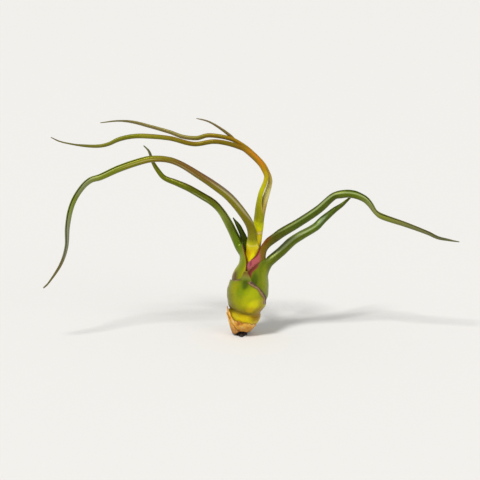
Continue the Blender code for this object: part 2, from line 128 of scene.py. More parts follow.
# The dry sheath round the foot: height and radius, then azimuth and height of its two rims.
DRY_PROFILE = [
    (1.2, 4.3), (2.6, 5.15), (4.6, 6.2), (6, 6.95), (7.2, 7.6), (9.8, 8.65), (12, 8.85), (14, 9.1)]
DRY_LEAN = Vector((-0.25, 0, 0))
DRY_TOP_RIM = [
    (0, 5), (40, 5.2), (90, 5.6), (140, 7), (165, 10.4), (176, 13.2), (190, 14), (205, 13.2),
    (215, 12), (223, 9.8), (232, 8.3), (241, 7.9), (260, 8.1), (280, 8.3), (301, 8.3), (320, 8),
    (335, 7.2), (347, 5.6), (360, 5)]
DRY_FOOT_RIM = [
    (0, 1.9), (25, 1.2), (45, 0.39), (135, 0.21), (155, 0.9), (180, 1.3), (225, 1.7), (238, 2.1),
    (255, 2.8), (285, 2.9), (300, 2.4), (330, 2.1), (360, 1.9)]
DRY_SPLAY = [(10, 0), (45, 2), (135, 2), (170, 0)]
SPLAY_HEIGHT = 3.0
CRUMPLE_DEPTH, FOLD_DEPTH = 0.2, 0.09

# The tears of its rims: two sizes of wave, depth at the foot, and the least strip left between.
# Then the length of a degree round the foot, and how the paper thins towards its rims.
TEAR_WAVES = (7, 23)
FOOT_TEAR = 0.35
LEAST_STRIP = 0.3
DEGREE_LENGTH = 0.13
DRY_TAPER = (-0.4, 1.0)
DRY_THINNEST = 0.3

# An older scrap of the same sheath that clings on its left.
SCRAP_TOP_RIM = [
    (172, 7), (182, 9.5), (194, 10.5), (206, 9), (220, 6.8), (236, 4.8), (252, 3.6), (262, 3)]
SCRAP_FOOT_RIM = [
    (172, 1.8), (185, 1.2), (205, 0.9), (225, 0.8), (240, 1.4), (255, 2.4), (262, 2.8)]
SCRAP_LIFT = 0.3

# Floor and nearest view in metres, sensor and lens in millimetres, and each light's share of the
# key light, its spread in degrees and the way it shines.
FLOOR_SIZE, NEAREST = 12.0, 0.01
SENSOR, LENS = 36.0, 120.0
LIGHTS = {"key light": (1.0, 12, (0.3, 0.42, -0.86)), "fill light": (0.22, 40, (-0.6, 0.6, -0.5))}

# Sockets of a Mix node that mixes colours, by number because they share their names with others.
MIX_SHARE, MIX_FROM, MIX_TO, MIXED = 0, 6, 7, 2


def linear(code):
    """Linear colour of an sRGB hex code."""
    channels = [int(code[place:place + 2], 16) / 255 for place in (1, 3, 5)]
    return tuple(c / 12.92 if c <= 0.04045 else ((c + 0.055) / 1.055) ** 2.4 for c in channels)


def opaque(colour):
    """A colour with full cover, as a colour socket takes it."""
    return (*colour, 1.0)


def table_value(table, at):
    """Value read from a table of pairs, by straight lines between its points."""
    if at <= table[0][0]:
        return table[0][1]
    for (low, start), (high, end) in zip(table, table[1:]):
        if at <= high:
            return start + (end - start) * (at - low) / (high - low)
    return table[-1][1]


def smooth_step(low, high, value):
    """0 below low, 1 above high, and a smooth rise between them."""
    share = min(max((value - low) / (high - low), 0.0), 1.0)
    return share * share * (3 - 2 * share)


def round_point(azimuth, height):
    """Point of the unit circle at an azimuth, at a height."""
    angle = math.radians(azimuth)
    return Vector((math.cos(angle), math.sin(angle), height))


def random_wave(outward, waves, height, waves_up, shift=0):
    """Smooth random value round a piece and up it, from -1 to 1."""
    return noise.noise(outward * waves + Vector((shift, 0, height * waves_up)))


def axis_point(height):
    """Point of the bulb's middle line at a height."""
    return Vector((table_value(BULB_AXIS, height), 0.0, height))


def axis_outward(height, azimuth):
    """Direction out of the bulb, square to its leaning middle line."""
    below = axis_point(max(height - AXIS_SAMPLE, 0))
    along = (axis_point(height + AXIS_SAMPLE) - below).normalized()
    angle = math.radians(azimuth)
    return Vector((-math.sin(angle), math.cos(angle), 0)).cross(along).normalized()


def seen_point(across, up, depth):
    """Point that shows ACROSS and UP of the foot in the front view and lies DEPTH behind it."""
    rise = up - VIEW_CENTRE_UP
    cosine, sine = math.cos(VIEW_TILT), math.sin(VIEW_TILT)
    height = rise * (1 + depth * cosine / VIEW_DISTANCE) - depth * sine
    height /= cosine + rise * sine / VIEW_DISTANCE
    scale = 1 + (depth * cosine - height * sine) / VIEW_DISTANCE
    return Vector((across * scale, depth, VIEW_CENTRE[2] + height))


def creased(height, azimuth):
    """Height to read the profile at, so that its waist follows the slanting crease, and its cut."""
    crease = table_value(CREASE, azimuth % 360)
    away = abs(height - crease)
    shift = (CREASE_HEIGHT - crease) * (1 - smooth_step(0, CREASE_REACH, away))
    return height + shift, CREASE_DEPTH * (1 - smooth_step(0, CREASE_WIDTH, away))


def sheath_radius(layer, height):
    """Outer radius of a layer of the bulb at a height. Each layer starts higher up the stem."""
    start = FIRST_SHEATH_HEIGHT + SHEATH_HEIGHT_STEP * layer
    on_stem = table_value(STEM_PROFILE, start) + STEM_GAP + SHEATH_WALL
    flare = on_stem + FLARE_SLOPE * (height - start)
    return min(table_value(BULB_PROFILE, height) - LAYER_PITCH * layer, flare)


def sheath_stations(leaf):
    """Rings of a leaf round the bulb's axis, with their place along the leaf as last number."""
    first, last = leaf["sheath"][0][0], leaf["sheath"][-1][0]
    befores = [(row[0], row[1]) for row in leaf["sheath"]]
    afters = [(row[0], row[-1]) for row in leaf["sheath"]]
    lowest, highest = first + SHARED_HEIGHT_MARGIN, last - SHARED_HEIGHT_MARGIN
    heights = [height for height in SHEATH_HEIGHTS if lowest < height < highest]
    if leaf["layer"] == 0:
        own = [height for height, _before in befores if height > FRONT_MARGIN_START]
        heights = [height for height in heights if height < FRONT_MARGIN_START] + own[:-1]
    stations = []
    for height in [first, *heights, last]:
        radius = sheath_radius(leaf["layer"] - table_value(leaf["swell"], height), height)
        half_angles = table_value(befores, height), table_value(afters, height)
        place = SHEATH_SHARE * (height - first) / (last - first)
        stations.append((*axis_point(height), radius, *half_angles, leaf["facing"], place))
    return stations


def blade_stations(leaf):
    """Rings of a leaf past its neck, which lie round its own middle line."""
    stations = []
    for number, (across, up, depth, radius, before, *rest) in enumerate(leaf["blade"]):
        after, turn = rest or (before, 1)
        azimuth = leaf["facing"] + (leaf["heading"] - leaf["facing"]) * turn
        place = SHEATH_SHARE + (1 - SHEATH_SHARE) * (number + 1) / len(leaf["blade"])
        stations.append((*seen_point(across, up, depth), radius, before, after, azimuth, place))
    return stations


def smooth_value(points, places, span, at):
    """Cubic through four neighbouring stations, for one of their numbers."""
    def slope(index):
        low, high = max(index - 1, 0), min(index + 1, len(points) - 1)
        return (points[high] - points[low]) / (places[high] - places[low])

    width = places[span + 1] - places[span]
    t = (at - places[span]) / width
    value = (2 * t ** 3 - 3 * t ** 2 + 1) * points[span]
    value += (3 * t ** 2 - 2 * t ** 3) * points[span + 1]
    value += (t ** 3 - 2 * t ** 2 + t) * width * slope(span)
    return value + (t ** 3 - t ** 2) * width * slope(span + 1)


def resample(stations, step):
    """Rings a step apart along a smooth curve through the stations."""
    places = [0.0]
    for first, second in zip(stations, stations[1:]):
        places.append(places[-1] + (Vector(second[:3]) - Vector(first[:3])).length)
    columns = list(zip(*stations))
    rings = []
    for span in range(len(stations) - 1):
        count = max(1, round((places[span + 1] - places[span]) / step))
        for part in range(count):
            at = places[span] + (places[span + 1] - places[span]) * part / count
            rings.append([smooth_value(column, places, span, at) for column in columns])
    rings.append(list(stations[-1]))
    return rings


def ring_frame(rings, index):
    """Outward and sideways directions of a ring's section."""
    low, high = max(index - FRAME_REACH, 0), min(index + FRAME_REACH, len(rings) - 1)
    along = (Vector(rings[high][:3]) - Vector(rings[low][:3])).normalized()
    azimuth = math.radians(rings[index][6])
    side = Vector((-math.sin(azimuth), math.cos(azimuth), 0))
    outward = side.cross(along).normalized()
    return outward, along.cross(outward)


def keep_outside(point, leaf):
    """Point moved out from the bulb's axis where it would cut the layers inside."""
    centre = axis_point(point.z)
    offset = point - centre
    past_neck = (point.z - leaf["sheath"][-1][0]) / NECK_LENGTH
    share = min(max(past_neck, 0.0), 1.0)
    least = sheath_radius(leaf["layer"] + (leaf["clears"] - leaf["layer"]) * share, point.z)
    if offset.length >= least:
        return point
    return centre + offset.normalized() * least


# A leaf's form. Sheath rows: height, then half angle before and after the midrib (degrees), or
# one for both. Blade rows: across, up and depth as seen from the front, radius, then half angles
# before and after and the share of the turn from facing to heading, or one half angle for both
# where the turn is whole. Swell: height, and layers that the sheath stands out by. Below its free
# height a blade is kept outside the layer that it clears.
# A leaf's finish. Sheath tones go by height and blade tones by blade row, and rows count from 1
# at the neck. Sheath marks, painted light among them: colour, strength, height and reach, azimuth
# and reach. Blade marks, painted light among them: colour, strength, row and reach, then middle
# and reach from the under side (-1) to the top (1).
# Margin tones run from the very edge of the drying band inwards. Margins: side (-1 or 1, or 0 for
# both), width, and where along the leaf the band starts and ends.
# Many blade marks are painted light: dark ones along a blade's under side are painted shade, and so
# are most dark ones along its top outline, while narrow pale ones along its middle are painted
# highlights. Each leaf's comments below say which.
LEAVES = {}

LEAVES["leaf_front_bulb"] = {
    "slot": "leaf_green", "layer": 0, "clears": 0, "free_height": 0,
    "facing": 261, "heading": 261, "swell": [(24, 0), (27, 0.15), (29, 0.4), (31, 0.7), (35, 0.8)],
    "sheath": [
        (2.6, 115), (12, 118), (15.2, 116, 106), (17, 113, 93), (20.5, 112, 74), (24, 109, 58),
        (25.5, 103, 49), (26.5, 91, 42), (27.5, 73, 34), (28.5, 55, 26), (29.7, 37, 17),
        (31, 22, 8), (33, 18, 4), (34.2, 17, -2), (35, 15, -6)],
    "blade": [],
    # The dark tone at 12.7 mm is painted shade in the crease under the main swelling.
    "sheath_tones": [
        (2.6, "#AD8305"), (10, "#DBC205"), (11.7, "#B69A05"), (12.7, "#795F05"), (17.5, "#A7A305"),
        (24, "#929F05"), (30, "#5B6C05"), (32, "#797B36"), (33.2, "#7D662C"), (35, "#55310F")],
    "blade_tones": [],
    # These ovals paint the bulb leaf's light and shade: the darker ones on its left side, under its
    # main swelling on the right, on the right of its lower swelling and in the dent under its neck
    # are painted shade, and the bright yellow ones on its front, with the pale spot on the lower
    # swelling, are painted light.
    "sheath_marks_and_painted_light": [
        ("#706C05", 0.9, 20, 13, 190, 58), ("#6C5D05", 0.6, 15.5, 4, 215, 34),
        ("#948E05", 0.6, 27, 5, 225, 26), ("#647905", 0.65, 25.5, 6, 244, 18),
        ("#858E05", 0.5, 19.5, 4.5, 243, 17), ("#BABA05", 0.6, 20, 5, 273, 22),
        ("#A9AF05", 0.7, 24, 5, 282, 22), ("#DDD505", 0.85, 18, 4.2, 292, 24),
        ("#AD9615", 0.7, 19.4, 4.5, 318, 20), ("#CDA905", 0.7, 15.3, 2.4, 284, 20),
        ("#9C7B05", 0.8, 14.6, 3.2, 316, 26), ("#B6A923", 0.75, 11.3, 1.1, 240, 10),
        ("#988E0B", 0.6, 9, 3, 222, 24), ("#946A05", 0.9, 10.6, 3.6, 322, 42),
        ("#7B6105", 0.7, 10.5, 4, 200, 26), ("#3C4E05", 0.95, 28.6, 3.6, 254, 13)],
    "blade_marks_and_painted_light": [],
    # The pale pinkish tone in the middle of the drying band is painted highlight on the band's dark
    # purple brown.
    "margin_tones": [
        (0, "#361B25"), (0.4, "#50363F"), (0.62, "#9F7761"), (0.85, "#6C483A"), (1, "#554125")],
    "margins": [(1, 2.1, 0.5, 0.84), (-1, 0.8, 0.75, 0.86)],
}

LEAVES["leaf_right_low"] = {
    "slot": "leaf_dark_green", "layer": 1, "clears": 2, "free_height": 42,
    "facing": 5, "heading": -40, "swell": [(24, 0), (28, 0.3)],
    "sheath": [
        (4.15, 95), (9, 102), (13.4, 105), (15.2, 106), (18, 108, 106), (22, 109, 99),
        (25, 109, 91), (28, 110, 85)],
    "blade": [
        (6.75, 32.5, 0, 7.6, 119, 84, 0.1), (10.4, 34.5, 0.3, 5.3, 130, 84, 0.3),
        (13.6, 36.3, 0.8, 2.9, 148, 118, 0.6), (16.9, 38.8, 1.8, 2.5, 148, 140, 1),
        (20.75, 42.15, 2.9, 2.45, 150), (24.9, 46.1, 4.7, 2.4, 152), (29.35, 49.1, 6.4, 2.3, 152),
        (33.95, 51.65, 8.2, 2.12, 152), (37.4, 53.85, 9.9, 2.1, 150), (40.55, 57, 11.7, 1.95, 150),
        (46.75, 62.2, 14.6, 1.42, 148), (50.1, 64.6, 16.2, 1.15, 122), (54, 68.5, 17.8, 1, 66)],
    "sheath_tones": [(4, "#888805"), (28, "#6B7905")],
    "blade_tones": [
        (1, "#677405"), (4, "#475405"), (8, "#475B05"), (9, "#375405"), (13, "#343705")],
    "sheath_marks_and_painted_light": [("#374F05", 0.85, 31, 5, 282, 17), ("#919805", 0.6, 30, 9, 324, 24)],
    # On this blade the darkest ovals along the top outline and along the under side are painted
    # shade, and the pale ovals along its middle, with the bluish one further up, are painted
    # highlights.
    "blade_marks_and_painted_light": [
        ("#183405", 0.75, 11.6, 2.8, 0.9, 0.42), ("#606B3D", 0.6, 6, 4, 0.95, 0.3),
        ("#243D05", 0.7, 8, 8, -0.95, 0.5), ("#A3B07D", 0.8, 6.6, 4.6, 0.5, 0.27),
        ("#8DA084", 0.6, 9.7, 0.9, 0.45, 0.35)],
    "margin_tones": [(0, "#560513"), (0.6, "#770537"), (1, "#844524")],
    "margins": [(-1, 1.8, 0.2, 0.33)],
}

LEAVES["leaf_left_low"] = {
    "slot": "leaf_dark_green", "layer": 2, "clears": 2.4, "free_height": 47,
    "facing": 170, "heading": 160, "swell": [(25.5, 0), (28.5, 2.1)],
    "sheath": [
        (5.7, 92), (10, 100), (13.4, 103), (15.2, 102, 104), (18, 96, 102), (22, 86, 94),
        (25, 78, 83), (28.5, 72, 79)],
    "blade": [
        (4.9, 31, 0, 8.8, 70, 80, 0), (5.2, 35, 0.3, 6.75, 68, 78, 0),
        (4.25, 38.75, 0.9, 5.4, 64, 94, 0.2), (1.75, 41.75, 1.6, 4, 80, 132, 0.4),
        (-1, 44, 3, 2.5, 120, 150, 0.7), (-3.2, 48.7, 4.8, 2.25, 148), (-6.7, 55.75, 8.2, 2.1, 150),
        (-10.25, 61.5, 10.9, 1.8, 150), (-14.25, 65.65, 12.6, 1.88, 150),
        (-19.95, 69.2, 14.4, 1.82, 150), (-26.25, 72.85, 16.1, 1.74, 150),
        (-32.6, 75.65, 17.9, 1.6, 150), (-38.75, 78.25, 19.6, 1.32, 148),
        (-41.95, 82, 20.5, 1.2, 140), (-44.25, 86, 21, 1, 118), (-46.1, 91.65, 21.6, 0.9, 85),
        (-48.5, 94.6, 21.9, 0.9, 32)],
    "sheath_tones": [(6, "#8C8C05"), (28.5, "#8A8C05")],
    "blade_tones": [
        (1, "#8E9005"), (3, "#818A05"), (5, "#506905"), (6, "#576B05"), (7, "#677423"),
        (9, "#535A05"), (14, "#5E6205"), (15, "#625C19"), (16, "#62603E"), (17, "#5E5C42")],
    "sheath_marks_and_painted_light": [
        ("#552923", 0.9, 31, 4.6, 206, 24), ("#B6B205", 0.9, 36, 10, 251, 15),
        ("#627405", 0.6, 36, 7, 220, 18)],
    "blade_marks_and_painted_light": [
        # On this blade the dark oval along the under side is painted shade, and the two pale ovals
        # along its middle are painted highlights. The dark olive brown along its top is partly the
        # leaf's own colour and partly painted shade on its top outline; the purple grey on its
        # upper edge near the neck is its own colour.
        ("#4A3631", 0.85, 7.6, 2.4, 0.9, 0.5), ("#504205", 0.75, 12, 9, 0.95, 0.45),
        ("#394C05", 0.65, 11, 12, -0.95, 0.5), ("#B4BA7D", 0.6, 9.9, 1.1, -0.1, 0.16),
        ("#8C9945", 0.5, 7, 1.6, -0.2, 0.6)],
    "margin_tones": [(0, "#5C0512"), (0.6, "#7A3129"), (1, "#8C7023")],
    "margins": [(1, 0.55, 0.3, 0.42), (1, 0.35, 0.2, 0.3)],
}

LEAVES["leaf_right_high"] = {
    "slot": "leaf_green", "layer": 3, "clears": 4, "free_height": 52,
    "facing": 350, "heading": 328, "swell": [(0, 0)],
    "sheath": [
        (7.25, 90), (12, 98), (15.2, 102), (18, 104), (22, 106, 104), (28, 104, 100), (34, 107, 96),
        (38.2, 111, 95)],
    "blade": [
        (6.8, 38.8, 0, 5.7, 90, 92, 0.1), (8.9, 42.6, -0.2, 4.2, 80, 84, 0.3),
        (12.2, 45.4, -0.5, 2.6, 148, 108, 0.7), (16.25, 48, -0.7, 2.45, 138),
        (20.25, 50.85, -1.3, 2.45, 148), (29.05, 56, -1.7, 2.25, 150),
        (38.75, 62.5, -2.3, 2.15, 152), (46.25, 69, -2.7, 1.92, 152), (49.75, 69.9, -2.9, 2.1, 152),
        (53.25, 70.2, -3, 2.05, 152), (57.25, 69.5, -3.3, 1.95, 152),
        (61.65, 67.45, -3.4, 1.7, 150), (64.4, 64.7, -3.5, 1.5, 148), (66.9, 61.1, -3.65, 1.2, 140),
        (69.6, 59.1, -3.8, 1.5, 135), (75.25, 57, -4, 1.48, 140), (81.25, 55, -4.2, 1.3, 145),
        (93.25, 50.55, -4.7, 1.08, 125), (98.25, 48.3, -4.8, 1, 112), (104.25, 47.25, -5, 0.95, 84),
        (109, 46.7, -5.2, 0.9, 26)],
    "sheath_tones": [(7, "#888805"), (24, "#827D05"), (30, "#886418"), (34, "#845905")],
    "blade_tones": [
        (1, "#7B6405"), (4, "#423F05"), (6, "#374A05"), (8, "#374505"), (11, "#546405"),
        (13, "#7B804A"), (14, "#80824A"), (15, "#777D2B"), (18, "#646247"), (20, "#545437")],
    "sheath_marks_and_painted_light": [
        ("#B04F5B", 1, 39, 9, 281, 42), ("#775105", 0.85, 40, 10, 326, 24),
        ("#B45474", 0.75, 38.2, 3.8, 252, 15), ("#770537", 0.8, 38.4, 2, 259, 8),
        ("#8D2445", 0.6, 44.5, 2.5, 283, 14)],
    "blade_marks_and_painted_light": [
        # On this blade the dark oval along the under side and the dark green one along the top
        # outline are painted shade, and the pale oval along its middle is a painted highlight. The
        # red brown at the axil and the brown grey and brown along the top edge are the leaf's own
        # colour.
        ("#641805", 0.9, 3.1, 1.2, 0.8, 0.9), ("#3D340D", 0.8, 6, 5, 0.95, 0.42),
        ("#182E05", 0.7, 9, 12, -0.95, 0.5), ("#2B3F05", 0.65, 11, 5, 0.95, 0.35),
        ("#9AA96E", 0.75, 9.5, 6.5, 0.42, 0.26), ("#514218", 0.6, 17, 4, 0.9, 0.6)],
    "margin_tones": [(0, "#560518"), (0.6, "#790528"), (1, "#883D28")],
    "margins": [(-1, 0.8, 0.29, 0.34)],
}

LEAVES["leaf_back_short"] = {
    "slot": "leaf_dark_green", "layer": 4, "clears": 4, "free_height": 52,
    "facing": 130, "heading": 140, "swell": [(0, 0)],
    "sheath": [(8.8, 88), (15.2, 96), (18, 98), (22, 100), (30, 92, 98), (36, 70, 90)],
    "blade": [
        (5, 39.5, 0.8, 4.9, 56, 80, 0.1), (3.9, 44, 1.8, 4, 60, 70, 0.3),
        (2.2, 47, 4, 2.5, 74, 74, 0.6), (0.4, 50.5, 6, 1.6, 100), (-1.4, 54, 7.5, 1.3, 108),
        (-2.85, 56.85, 8.3, 1, 60), (-3.75, 58.5, 8.6, 0.9, 18)],
    "sheath_tones": [(9, "#6C7D12"), (36, "#3F4E05")],
    "blade_tones": [(1, "#485905"), (4, "#415005"), (7, "#4C5523")],
    "sheath_marks_and_painted_light": [],
    "blade_marks_and_painted_light": [],
    "margin_tones": [(0, "#152805"), (1, "#253805")],
    "margins": [(0, 0.4, 0.2, 1)],
}

LEAVES["leaf_left_high"] = {
    "slot": "leaf_green", "layer": 5, "clears": 5, "free_height": 57,
    "facing": 255, "heading": 222, "swell": [(0, 0)],
    "sheath": [(10.35, 85), (15.2, 95), (18, 100), (22, 104), (30, 105), (38, 102), (43, 98)],
    "blade": [
        (5.9, 43.75, -1.2, 3.6, 82, 82, 0.1), (5.4, 46.5, -3, 2.9, 75, 75, 0.25),
        (5.5, 49.5, -4.7, 2.3, 100, 100, 0.45), (4.5, 54, -5.7, 2.15, 138, 138, 0.7),
        (1.5, 59.25, -6.6, 2.15, 150, 150, 0.9), (-6.25, 68.5, -7, 2.1, 152),
        (-14.25, 74.75, -7.3, 2, 152), (-22.25, 80, -7.6, 1.8, 152), (-30, 84.7, -7.9, 1.6, 150),
        (-35.75, 87, -8.3, 1.62, 150), (-41.95, 87.65, -8.7, 1.6, 150),
        (-48.25, 86.95, -9.1, 1.72, 150), (-61.25, 82.7, -9.8, 1.75, 150),
        (-70.75, 78.4, -10.5, 1.6, 150), (-75.45, 76.95, -10.7, 1.48, 150),
        (-79.45, 73.5, -11.1, 1.42, 150), (-83.45, 67.5, -11.5, 1.34, 150),
        (-85.75, 61.2, -11.7, 1.34, 148), (-87.1, 53, -12.1, 1.22, 140),
        (-87.6, 43.5, -12.6, 0.98, 120), (-90.55, 34.8, -13, 0.92, 95),
        (-97.1, 25.5, -13.6, 0.9, 48), (-99.5, 23.4, -13.9, 0.9, 26)],
    "sheath_tones": [(10, "#A4A405"), (38, "#ECD905"), (43, "#E4CA05")],
    "blade_tones": [
        (1, "#EAC605"), (1.6, "#E4D305"), (2.1, "#ACA805"), (2.6, "#837D05"), (4, "#6D6005"),
        (7, "#746911"), (9, "#6B521E"), (12, "#7A740C"), (13, "#6B7405"), (14, "#6F781E"),
        (16, "#787D5B"), (17, "#6D782B"), (18, "#788343"), (19, "#818369"), (20, "#7F7F6B"),
        (21, "#695D3B"), (23, "#594D25")],
    "sheath_marks_and_painted_light": [
        ("#F5E805", 0.9, 40, 6, 264, 34), ("#E8B905", 0.8, 42.5, 3, 240, 16),
        ("#ECDB3B", 0.9, 47.5, 4.5, 302, 34)],
    "blade_marks_and_painted_light": [
        # On this blade the dark oval along the under side and the dark green one along the top
        # outline further up are painted shade, and the four pale ovals along its middle are painted
        # highlights. The purple grey band on its upper edge is the leaf's purple blush with painted
        # highlight in it; the pale collar line and the brown and green ovals are its own colour.
        ("#EFE078", 0.5, 1.8, 0.22, 0, 2), ("#6D5654", 0.85, 6.4, 3.4, 0.75, 0.34),
        ("#693B1E", 0.7, 8.2, 2, 0.3, 1), ("#7A4805", 0.7, 10.6, 2.6, -0.9, 0.9),
        ("#8C902E", 0.5, 11.5, 2, 1, 0.3), ("#484305", 0.6, 9, 12, -0.95, 0.5),
        ("#B9AC93", 0.5, 5.8, 2.4, 0.28, 0.2), ("#AC9766", 0.55, 8.9, 1.7, -0.2, 0.2),
        ("#C4B172", 0.6, 11.9, 1.6, 0.05, 0.2), ("#AFB57D", 0.5, 14.6, 2.6, 0.45, 0.22),
        ("#404A05", 0.55, 14, 5, 0.97, 0.3)],
    "margin_tones": [(0, "#E0CF66"), (1, "#D7BE1E")],
    "margins": [(0, 0.5, 0.2, 0.3)],
}

LEAVES["leaf_crown_outer"] = {
    "slot": "leaf_yellow_green", "layer": 6, "clears": 6, "free_height": 0,
    "facing": 200, "heading": 180, "swell": [(40, 0), (44, 0.3), (51, 0.3), (54, 0)],
    "sheath": [
        (11.9, 80), (16, 95), (22, 105), (30, 112), (38, 118), (44, 122, 140), (50, 124, 148),
        (54, 125), (61, 122)],
    "blade": [
        (9, 64, -0.6, 2.1, 102, 102, 0.4), (9.6, 68, -1.2, 1.75, 105, 105, 0.7),
        (10.3, 72, -1.6, 1.5, 128), (12.15, 75.75, -1.7, 1.25, 142), (12.5, 78.75, -1.7, 1.2, 146),
        (11.5, 81.5, -1.7, 1.2, 148), (9.2, 85.55, -1.7, 1.4, 148), (2.3, 91.95, -1.8, 1.35, 148),
        (-0.4, 93.35, -1.8, 1.3, 148), (-7.75, 95.5, -1.9, 1.2, 148), (-14.25, 96.25, -2, 1.2, 148),
        (-23.75, 95, -2.1, 1.2, 148), (-35.75, 97.85, -2.3, 1.2, 148),
        (-48.25, 99, -2.4, 1.25, 148), (-54.75, 98.8, -2.5, 1.2, 148),
        (-61.25, 97.4, -2.6, 1.15, 145), (-66.75, 95, -2.6, 1.05, 135),
        (-71.45, 94.1, -2.7, 1, 125), (-77.75, 94.3, -2.7, 0.95, 110),
        (-84.25, 95.3, -2.8, 0.9, 75), (-91, 96.9, -2.8, 0.9, 40), (-95, 99, -2.9, 0.9, 22)],
    "sheath_tones": [
        (12, "#A7A709"), (43, "#AFA705"), (46, "#DFC105"), (51, "#E3C905"), (53.6, "#C9B605"),
        (54.4, "#D4CD05"), (57.5, "#C1C305"), (61, "#8B8605")],
    "blade_tones": [
        (1, "#938D05"), (3, "#B6B405"), (5, "#BCA505"), (7, "#AF7305"), (9, "#7B5305"),
        (10, "#6A5605"), (12, "#705A05"), (14, "#807B1E"), (15, "#656505"), (18, "#6E6827"),
        (22, "#5F5337")],
    "sheath_marks_and_painted_light": [("#D8BC77", 0.8, 53.2, 0.9, 300, 70), ("#938F05", 0.6, 60.5, 2.2, 270, 90)],
    "blade_marks_and_painted_light": [
        # On this blade the dark ovals along the under side and the dark one along the top outline
        # further up are painted shade; the orange on its top and the brown further up are the
        # leaf's own colour.
        ("#D26A05", 0.85, 6.8, 1.6, 0.9, 0.9), ("#6C4C27", 0.75, 8, 4, -1, 0.7),
        ("#7E5309", 0.6, 12, 3, 0.9, 0.7), ("#5A4C05", 0.7, 13, 7, -0.95, 0.55),
        ("#565105", 0.5, 15.5, 5, 0.95, 0.4)],
    "margin_tones": [(0, "#D2BC61"), (1, "#B8A337")],
    "margins": [(0, 0.35, 0.28, 0.42)],
}

LEAVES["leaf_crown_middle"] = {
    "slot": "leaf_yellow_green", "layer": 7, "clears": 7, "free_height": 0,
    "facing": 240, "heading": 185, "swell": [(50, 0), (61, 0.6)],
    "sheath": [
        (13.45, 75), (17, 90), (22, 100), (30, 106), (38, 110), (46, 112), (54, 112), (61, 110)],
    "blade": [
        (11, 64.5, 0.2, 1.75, 108, 108, 0.2), (12.05, 68, 0.6, 1.7, 112, 112, 0.5),
        (13.3, 71.75, 1, 1.5, 128, 128, 0.8), (14.35, 75.25, 1.5, 1.25, 142),
        (14.25, 78, 1.6, 1.15, 145), (13.25, 80.75, 1.6, 1.15, 145), (10.85, 85.1, 1.6, 1.15, 145),
        (3.9, 92, 1.6, 1.15, 145), (-1.25, 95.6, 1.6, 1.15, 145), (-5.25, 97.6, 1.6, 1.15, 145),
        (-11.75, 99, 2, 1.15, 145), (-17.25, 99.3, 2.5, 1.15, 145), (-22.25, 98, 3.2, 1.15, 145),
        (-29.25, 98.65, 4.9, 1.1, 145), (-35.75, 101, 6.7, 1.05, 140), (-48.25, 104.65, 10, 1, 125),
        (-54.65, 106.3, 11.7, 0.98, 110), (-61.15, 107, 13.3, 0.9, 80),
        (-70.6, 106.3, 15.8, 0.9, 25)],
    "sheath_tones": [(13, "#A4A414"), (44, "#A48D2A"), (61, "#A48D49")],
    "blade_tones": [
        (1, "#AD9446"), (2, "#D2C478"), (3, "#DFD583"), (5, "#B59C42"), (6, "#AD8720"),
        (8, "#9C6D05"), (11, "#816305"), (12, "#7C6314"), (13, "#786525"), (14, "#7C6B42"),
        (19, "#675A3D")],
    "sheath_marks_and_painted_light": [],
    # The dark oval along this blade's under side is painted shade.
    "blade_marks_and_painted_light": [("#81653D", 0.3, 5, 2.2, 0, 0.9), ("#5A392A", 0.7, 10, 5, -1, 0.8)],
    "margin_tones": [(0, "#C6AD83"), (1, "#A48B4F")],
    "margins": [(0, 0.25, 0.28, 0.42)],
}

LEAVES["leaf_crown_inner"] = {
    "slot": "leaf_yellow_green", "layer": 8, "clears": 8, "free_height": 0,
    "facing": 60, "heading": 180, "swell": [(0, 0)],
    "sheath": [(15, 70), (18, 85), (22, 100), (30, 108), (38, 110), (46, 105), (54, 90), (61, 80)],
    "blade": [
        (10.6, 64.5, 1.5, 0.9, 45, 45, 0.1), (11.7, 68, 2.9, 0.9, 42, 42, 0.3),
        (12.9, 72, 3.7, 0.9, 42, 42, 0.5), (14.25, 76, 4.2, 0.9, 42, 42, 0.8),
        (13.4, 80.5, 4.3, 0.9, 42), (10.5, 84.75, 4.3, 0.9, 42), (3.5, 91.5, 4.2, 0.9, 42),
        (-2.1, 96.9, 3.7, 0.9, 42), (-3.75, 98, 3.5, 1.15, 100), (-9.75, 102.8, 3.3, 1.1, 92),
        (-16.1, 106.6, 3.1, 0.95, 72), (-22.4, 108.5, 3, 0.9, 20)],
    "sheath_tones": [(15, "#A5A518"), (61, "#94833F")],
    "blade_tones": [(1, "#98833A"), (8, "#8E6E2C"), (12, "#70614A")],
    "sheath_marks_and_painted_light": [],
    "blade_marks_and_painted_light": [],
    "margin_tones": [(0, "#AD945B"), (1, "#8E723F")],
    "margins": [(0, 0.2, 0.3, 0.8)],
}


def fill_sockets(tree, node, inputs):
    """Fills a node's sockets by name or number, or links those whose value is a socket."""
    for name, value in inputs.items():
        if isinstance(value, bpy.types.NodeSocket):
            tree.links.new(value, node.inputs[name])
        else:
            node.inputs[name].default_value = value


def add_node(tree, kind, inputs=None, stops=None, **settings):
    """Adds a shader node with its settings, its sockets and the stops of its colour ramp."""
    node = tree.nodes.new("ShaderNode" + kind)
    for name, value in settings.items():
        setattr(node, name, value)
    fill_sockets(tree, node, inputs or {})
    for number, (place, colour) in enumerate(stops or []):
        elements = node.color_ramp.elements
        element = elements[number] if number < 2 else elements.new(place)
        element.position = place
        element.color = opaque(colour)
    return node


def start_material(name):
    """A new material with its node tree and its shader."""
    material = bpy.data.materials.new(name)
    material.use_nodes = True
    return material, material.node_tree, material.node_tree.nodes["Principled BSDF"]


def tone_stops(leaf):
    """Colour stops along a leaf, from its sheath tones and its blade tones."""
    first, last = leaf["sheath"][0][0], leaf["sheath"][-1][0]
    share = SHEATH_SHARE if leaf["blade"] else 1.0
    stops = [((height - first) / (last - first) * share, code)
             for height, code in leaf["sheath_tones"]]
    for row, code in leaf["blade_tones"]:
        stops.append((SHEATH_SHARE + (1 - SHEATH_SHARE) * row / len(leaf["blade"]), code))
    return [(min(max(place, 0.0), 1.0), linear(code)) for place, code in stops]


